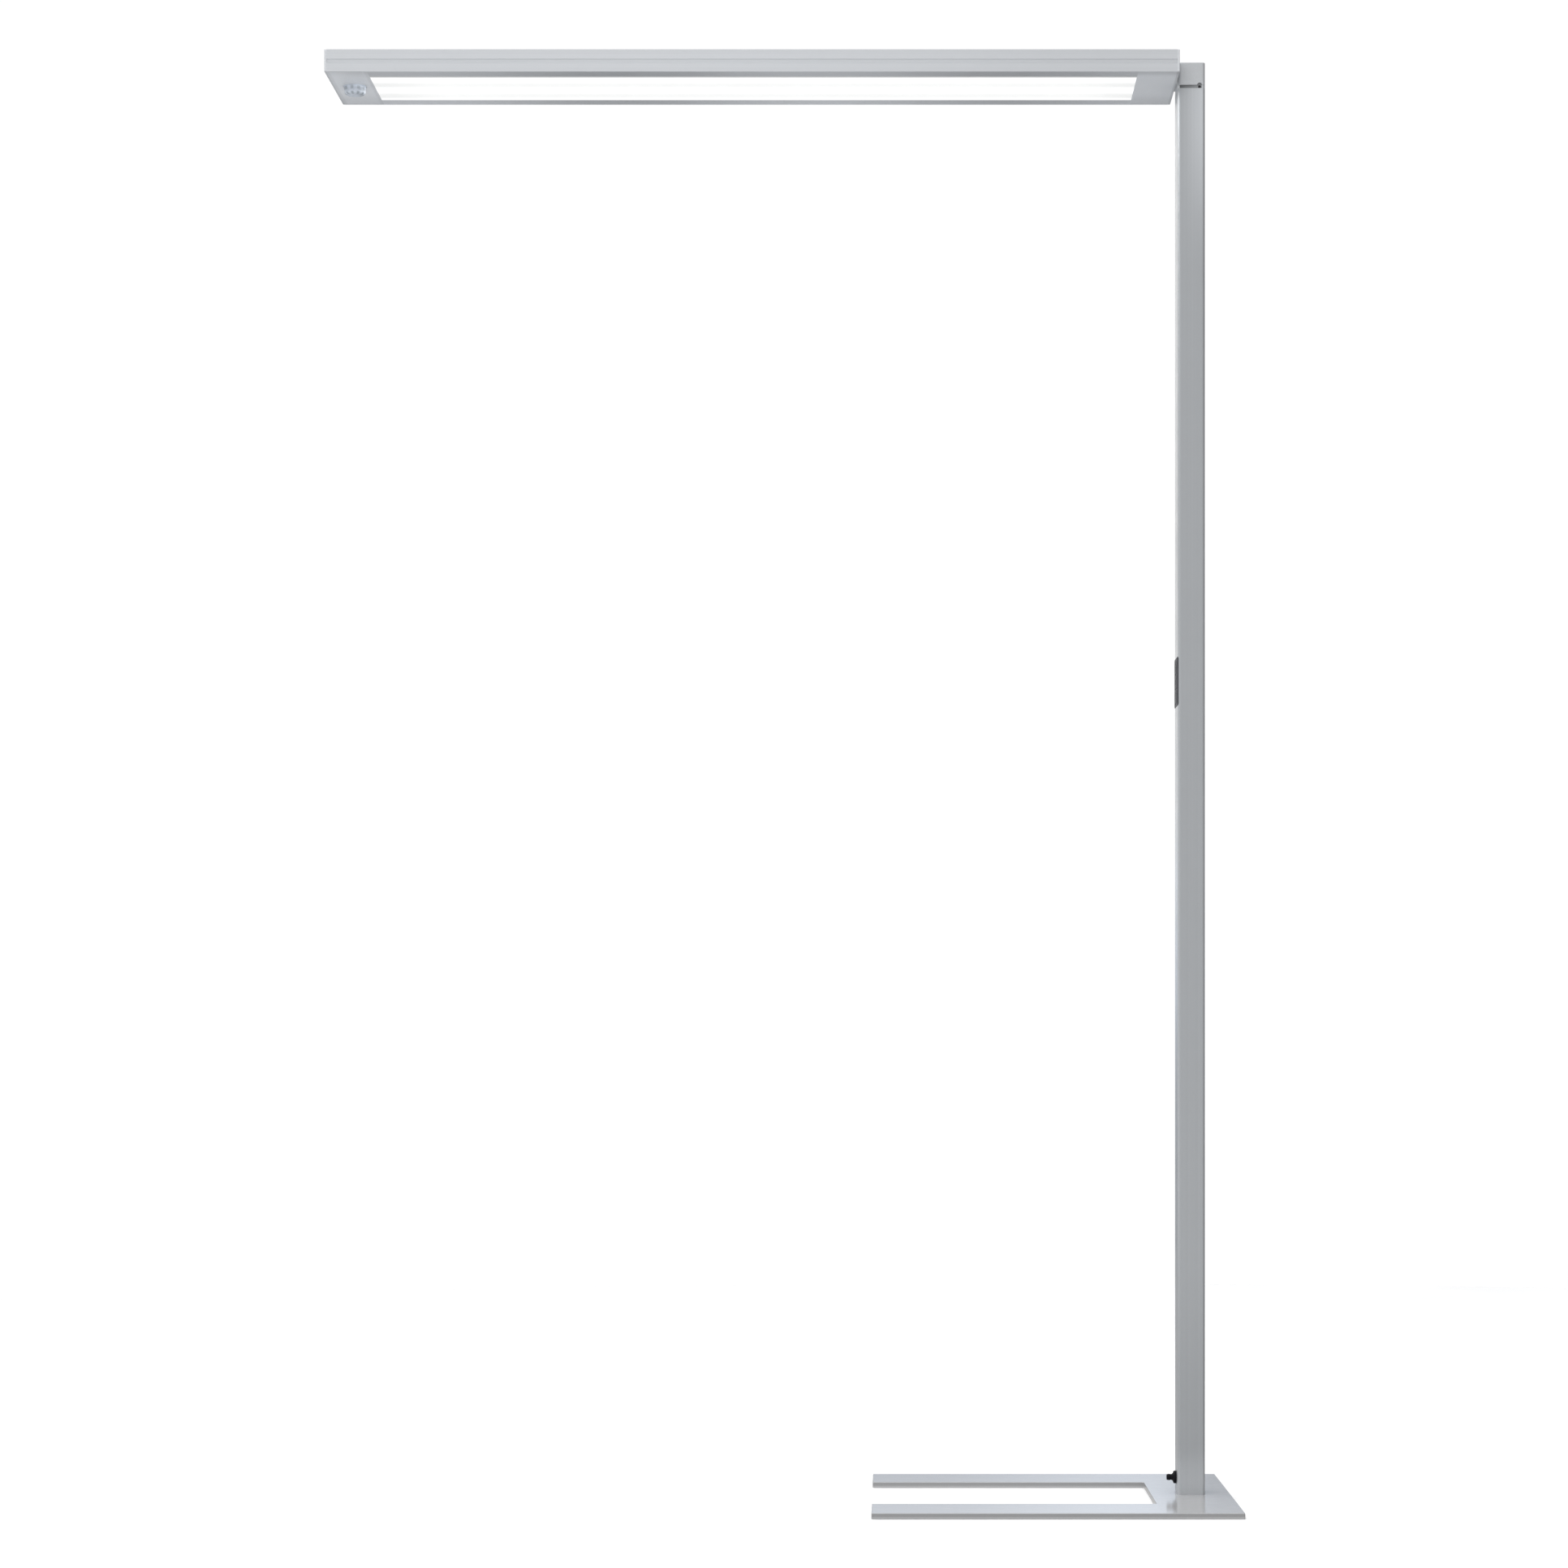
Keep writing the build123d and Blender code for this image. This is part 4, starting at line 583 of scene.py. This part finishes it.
def faceted_lens():
    """Drum with two rows of hollow lenslets moulded into its outer face, and a flange above."""
    around = 12 * FACETS
    outer, outer_tip = lens_outline(0.03, 3.8)
    inner, inner_tip = lens_outline(1.2, 2.6)
    bm = bmesh.new()

    def ring(r, z, hollow):
        verts = []
        for i in range(around):
            a = 2 * math.pi * i / around - math.pi / 2 + LENS_TURN
            phase = (i % 12) / 12.0
            phase = phase - 1.0 if phase > 0.5 else phase
            dip = lift = 0.0
            if hollow:
                side = bump_shape((z - 1914.9) / 2.6) * bump_shape(phase / 0.40)
                low = bump_shape((r - 11.9) / 3.2) * bump_shape((z - 1907.8) / 2.8) * bump_shape(phase / 0.42)
                dip = 0.30 * side + 0.22 * low
                lift = 0.28 * low
            verts.append(
                bm.verts.new((
                    (SENSOR_X + (r - dip) * math.cos(a)) * MM,
                    (SENSOR_Y + (r - dip) * math.sin(a)) * MM,
                    (z + lift) * MM,
                ))
            )
        return verts

    rings = [ring(15.9, 1927.0, False), ring(15.9, 1924.0, False)]
    rings += [ring(r, z, True) for r, z in outer]
    low = bm.verts.new((SENSOR_X * MM, SENSOR_Y * MM, outer_tip[1] * MM))
    high = bm.verts.new((SENSOR_X * MM, SENSOR_Y * MM, inner_tip[1] * MM))
    inside = [ring(r, z, False) for r, z in reversed(inner)] + [ring(15.4 - 1.2, 1927.0, False)]

    def skin(a, b):
        for i in range(around):
            j = (i + 1) % around
            bm.faces.new((a[i], a[j], b[j], b[i]))

    for a, b in zip(rings, rings[1:]):
        skin(a, b)
    for i in range(around):
        bm.faces.new((rings[-1][i], rings[-1][(i + 1) % around], low))
        bm.faces.new((inside[0][(i + 1) % around], inside[0][i], high))
    for a, b in zip(inside, inside[1:]):
        skin(a, b)
    skin(inside[-1], rings[0])
    for face in bm.faces:
        face.smooth = True
    for edge in bm.edges:
        if len(edge.link_faces) == 2 and edge.calc_face_angle(0.0) > math.radians(35):
            edge.smooth = False
    return bm


lens = piece("faceted_lens", faceted_lens(), finish["lens"], "head")
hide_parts("sensor_lens")


# marks on the keys, raised 0.12 mm: a ring and bar, a plus and a minus
def prism(bm, outline, front, back):
    """outline: (y, z) points in metres; the prism runs from x = front to x = back."""
    near = [bm.verts.new((front, y, z)) for y, z in outline]
    far = [bm.verts.new((back, y, z)) for y, z in outline]
    bm.faces.new(near)
    bm.faces.new(list(reversed(far)))
    for i in range(len(outline)):
        j = (i + 1) % len(outline)
        bm.faces.new((near[i], far[i], far[j], near[j]))


def bar(cy, cz, width, height):
    """Rounded bar's outline."""
    r = min(width, height) / 2
    points = []
    for k, (sy, sz) in enumerate(((1, 1), (-1, 1), (-1, -1), (1, -1))):
        for i in range(6):
            a = math.pi / 2 * (k + i / 5)
            points.append(
                (cy + sy * (width / 2 - r) + r * math.cos(a), cz + sz * (height / 2 - r) + r * math.sin(a))
            )
    return points


def open_ring(cy, cz, radius, stroke, gap):
    """Ring broken at the top."""
    points = []
    a0, a1 = math.pi / 2 + gap, math.pi / 2 + 2 * math.pi - gap
    for i in range(41):
        a = a0 + (a1 - a0) * i / 40
        points.append((cy + (radius + stroke / 2) * math.cos(a), cz + (radius + stroke / 2) * math.sin(a)))
    for i in range(40, -1, -1):
        a = a0 + (a1 - a0) * i / 40
        points.append((cy + (radius - stroke / 2) * math.cos(a), cz + (radius - stroke / 2) * math.sin(a)))
    return points


def plus(cy, cz, size, stroke):
    h, s = size / 2, stroke / 2
    return [
        (cy + a, cz + b)
        for a, b in (
            (h, s), (s, s), (s, h), (-s, h), (-s, s), (-h, s),
            (-h, -s), (-s, -s), (-s, -h), (s, -h), (s, -s), (h, -s),
        )
    ]


def key_mark(node):
    (x0, y0, z0), (x1, y1, z1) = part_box(node)
    cy, cz = (y0 + y1) / 2, (z0 + z1) / 2
    front, back = x0 - 0.12 * MM, x0 + 0.2 * MM
    bm = bmesh.new()
    if node == "key_power":
        prism(bm, open_ring(cy, cz, 3.0 * MM, 0.7 * MM, 0.62), front, back)
        prism(bm, bar(cy, cz + 2.3 * MM, 0.7 * MM, 3.2 * MM), front, back)
    elif node == "key_brighter":
        prism(bm, plus(cy, cz, 6.4 * MM, 0.8 * MM), front, back)
    else:
        prism(bm, bar(cy, cz, 6.4 * MM, 0.8 * MM), front, back)
    return bm


for key in ("key_power", "key_brighter", "key_dimmer"):
    piece(key + "_mark", key_mark(key), finish["mark"], key)


# ------------------------------------------------------------------ studio
def seen_by(obj, camera=False, diffuse=False, glossy=False, shadow=False):
    obj.visible_camera = camera
    obj.visible_diffuse = diffuse
    obj.visible_glossy = glossy
    obj.visible_transmission = False
    obj.visible_volume_scatter = False
    obj.visible_shadow = shadow


def flat_mesh(name, corners, material):
    mesh = bpy.data.meshes.new(name)
    mesh.from_pydata(corners, [], [tuple(range(len(corners)))])
    mesh.materials.append(material)
    obj = bpy.data.objects.new(name, mesh)
    scene.collection.objects.link(obj)
    return obj


def disc(radius, z):
    return [
        (radius * math.cos(2 * math.pi * i / 64), radius * math.sin(2 * math.pi * i / 64), z) for i in range(64)
    ]


def paint(name, low, high):
    g = Graph(name)
    grain = g.noise(scale=3.0, detail=5.0)
    return g.finish(g.blend(grain, low, high), g.span(grain, 0.3, 0.7, 0.55, 0.65))


# the floor that is seen, and a greyer one just below it that the lamp is lit by
floor = flat_mesh("floor", disc(5.0, 0.0), paint("pale_floor", (0.91, 0.91, 0.912), (0.94, 0.94, 0.942)))
seen_by(floor, camera=True)
bounce = flat_mesh("floor_bounce", disc(9.0, -0.0005), paint("grey_floor", (0.60, 0.60, 0.60), (0.64, 0.64, 0.64)))
seen_by(bounce, diffuse=True, shadow=True)


def dim_floor():
    """What reflections see of the floor: dimmer than what lights the lamp, lighter towards the lamp's foot."""
    mat = bpy.data.materials.new("floor_in_reflections")
    mat.use_nodes = True
    g = Nodes(mat.node_tree, "Object")
    x, y, z = g.axes()
    glow = g.tree.nodes.new("ShaderNodeEmission")
    glow.inputs["Color"].default_value = (1.0, 1.0, 1.0, 1.0)
    behind = g.span(y, 0.4, 3.0, SHEEN_NEAR, SHEEN_FAR, smooth=False)
    g.link(g.math("ADD", behind, g.span(y, -0.3, 0.1, SHEEN_FRONT - SHEEN_NEAR, 0.0)), glow.inputs["Strength"])
    g.link(glow.outputs[0], g.tree.nodes.new("ShaderNodeOutputMaterial").inputs[0])
    return mat


SHEEN_FRONT, SHEEN_NEAR, SHEEN_FAR = 0.85, 0.60, 0.53
sheen = flat_mesh("floor_sheen", disc(9.0, -0.0003), dim_floor())
seen_by(sheen, glossy=True)

world = bpy.data.worlds.new("studio")
world.use_nodes = True
scene.world = world
w = Nodes(world.node_tree, "Generated")
dx, dy, dz = w.axes()
rise = w.span(dz, 0.1, 0.9, 0.0, 0.30)
left = w.span(dx, -1.0, 0.0, 0.20, 0.0)
right = w.span(dx, 0.25, 0.95, 0.0, -0.42)
level = w.math("ADD", w.math("ADD", w.math("ADD", 0.62, rise), left), right)
room = w.tree.nodes.new("ShaderNodeBackground")
room.inputs["Color"].default_value = (1.0, 1.0, 1.0, 1.0)
w.link(level, room.inputs["Strength"])
plain = w.tree.nodes.new("ShaderNodeBackground")
plain.inputs["Color"].default_value = (1.0, 1.0, 1.0, 1.0)
plain.inputs["Strength"].default_value = 1.02
chosen = w.tree.nodes.new("ShaderNodeMixShader")
w.link(w.tree.nodes.new("ShaderNodeLightPath").outputs["Is Camera Ray"], chosen.inputs[0])
w.link(room.outputs[0], chosen.inputs[1])
w.link(plain.outputs[0], chosen.inputs[2])
w.link(chosen.outputs[0], w.tree.nodes.new("ShaderNodeOutputWorld").inputs[0])


def backdrop():
    """A lit cloth behind the lamp that only reflections see: it fades downwards and to the right."""
    mat = bpy.data.materials.new("backdrop_cloth")
    mat.use_nodes = True
    g = Nodes(mat.node_tree, "Object")
    x, y, z = g.axes()
    height = g.span(z, 0.53, 0.95, CLOTH_LOW, CLOTH_MID, smooth=False)
    height = g.math("ADD", height, g.span(z, 0.95, 2.6, 0.0, CLOTH_HIGH - CLOTH_MID, smooth=False))
    foot = g.math("MULTIPLY", g.span(z, 0.44, 0.62), g.span(z, 0.80, 1.2, 1.0, 0.0))
    patch = g.math("MULTIPLY", g.span(x, -0.30, 0.34, 0.0, CLOTH_PATCH), foot)
    level = g.math("ADD", height, patch)
    level = g.math("MULTIPLY", level, g.span(x, 0.36, 0.56, 1.0, CLOTH_RIGHT))
    glow = g.tree.nodes.new("ShaderNodeEmission")
    g.link(g.blend(g.span(z, 0.85, 1.4), CLOTH_TINT, (1.0, 0.985, 0.972)), glow.inputs["Color"])
    g.link(level, glow.inputs["Strength"])
    g.link(glow.outputs[0], g.tree.nodes.new("ShaderNodeOutputMaterial").inputs[0])
    return mat


CLOTH_LOW, CLOTH_MID, CLOTH_HIGH, CLOTH_PATCH, CLOTH_RIGHT = 0.20, 1.16, 1.30, 0.34, 0.50
CLOTH_TINT = (0.885, 0.985, 1.13)
cloth = flat_mesh("backdrop", [(-7.0, 6.0, 0.0), (5.0, 6.0, 0.0), (5.0, 6.0, 6.0), (-7.0, 6.0, 6.0)], backdrop())
seen_by(cloth, glossy=True)


def softbox(name, place, aim, width, height, power, colour=(1, 1, 1)):
    data = bpy.data.lights.new(name, "AREA")
    data.shape = "RECTANGLE"
    data.size, data.size_y = width, height
    data.energy = power
    data.color = colour
    obj = bpy.data.objects.new(name, data)
    obj.location = place
    obj.rotation_euler = (Vector(aim) - Vector(place)).to_track_quat("-Z", "Y").to_euler()
    obj.visible_camera = False
    scene.collection.objects.link(obj)
    return obj


def sun(name, direction, strength, angle):
    data = bpy.data.lights.new(name, "SUN")
    data.energy = strength
    data.angle = math.radians(angle)
    obj = bpy.data.objects.new(name, data)
    obj.rotation_euler = Vector(direction).to_track_quat("-Z", "Y").to_euler()
    obj.visible_glossy = False
    scene.collection.objects.link(obj)
    return obj


sun("ceiling", (0.05, 0.10, -1.0), 1.15, 70.0)
key_light = softbox("key", (-1.3, -5.3, 2.6), (-0.3, 0.0, 1.0), 1.5, 1.5, 110.0)
key_light.visible_glossy = False
glow = softbox("panel_glow", (-0.592, 0.0, 1.9175), (-0.592, 0.0, 0.0), 1.03, 0.12, 2.2)
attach(glow, "head")
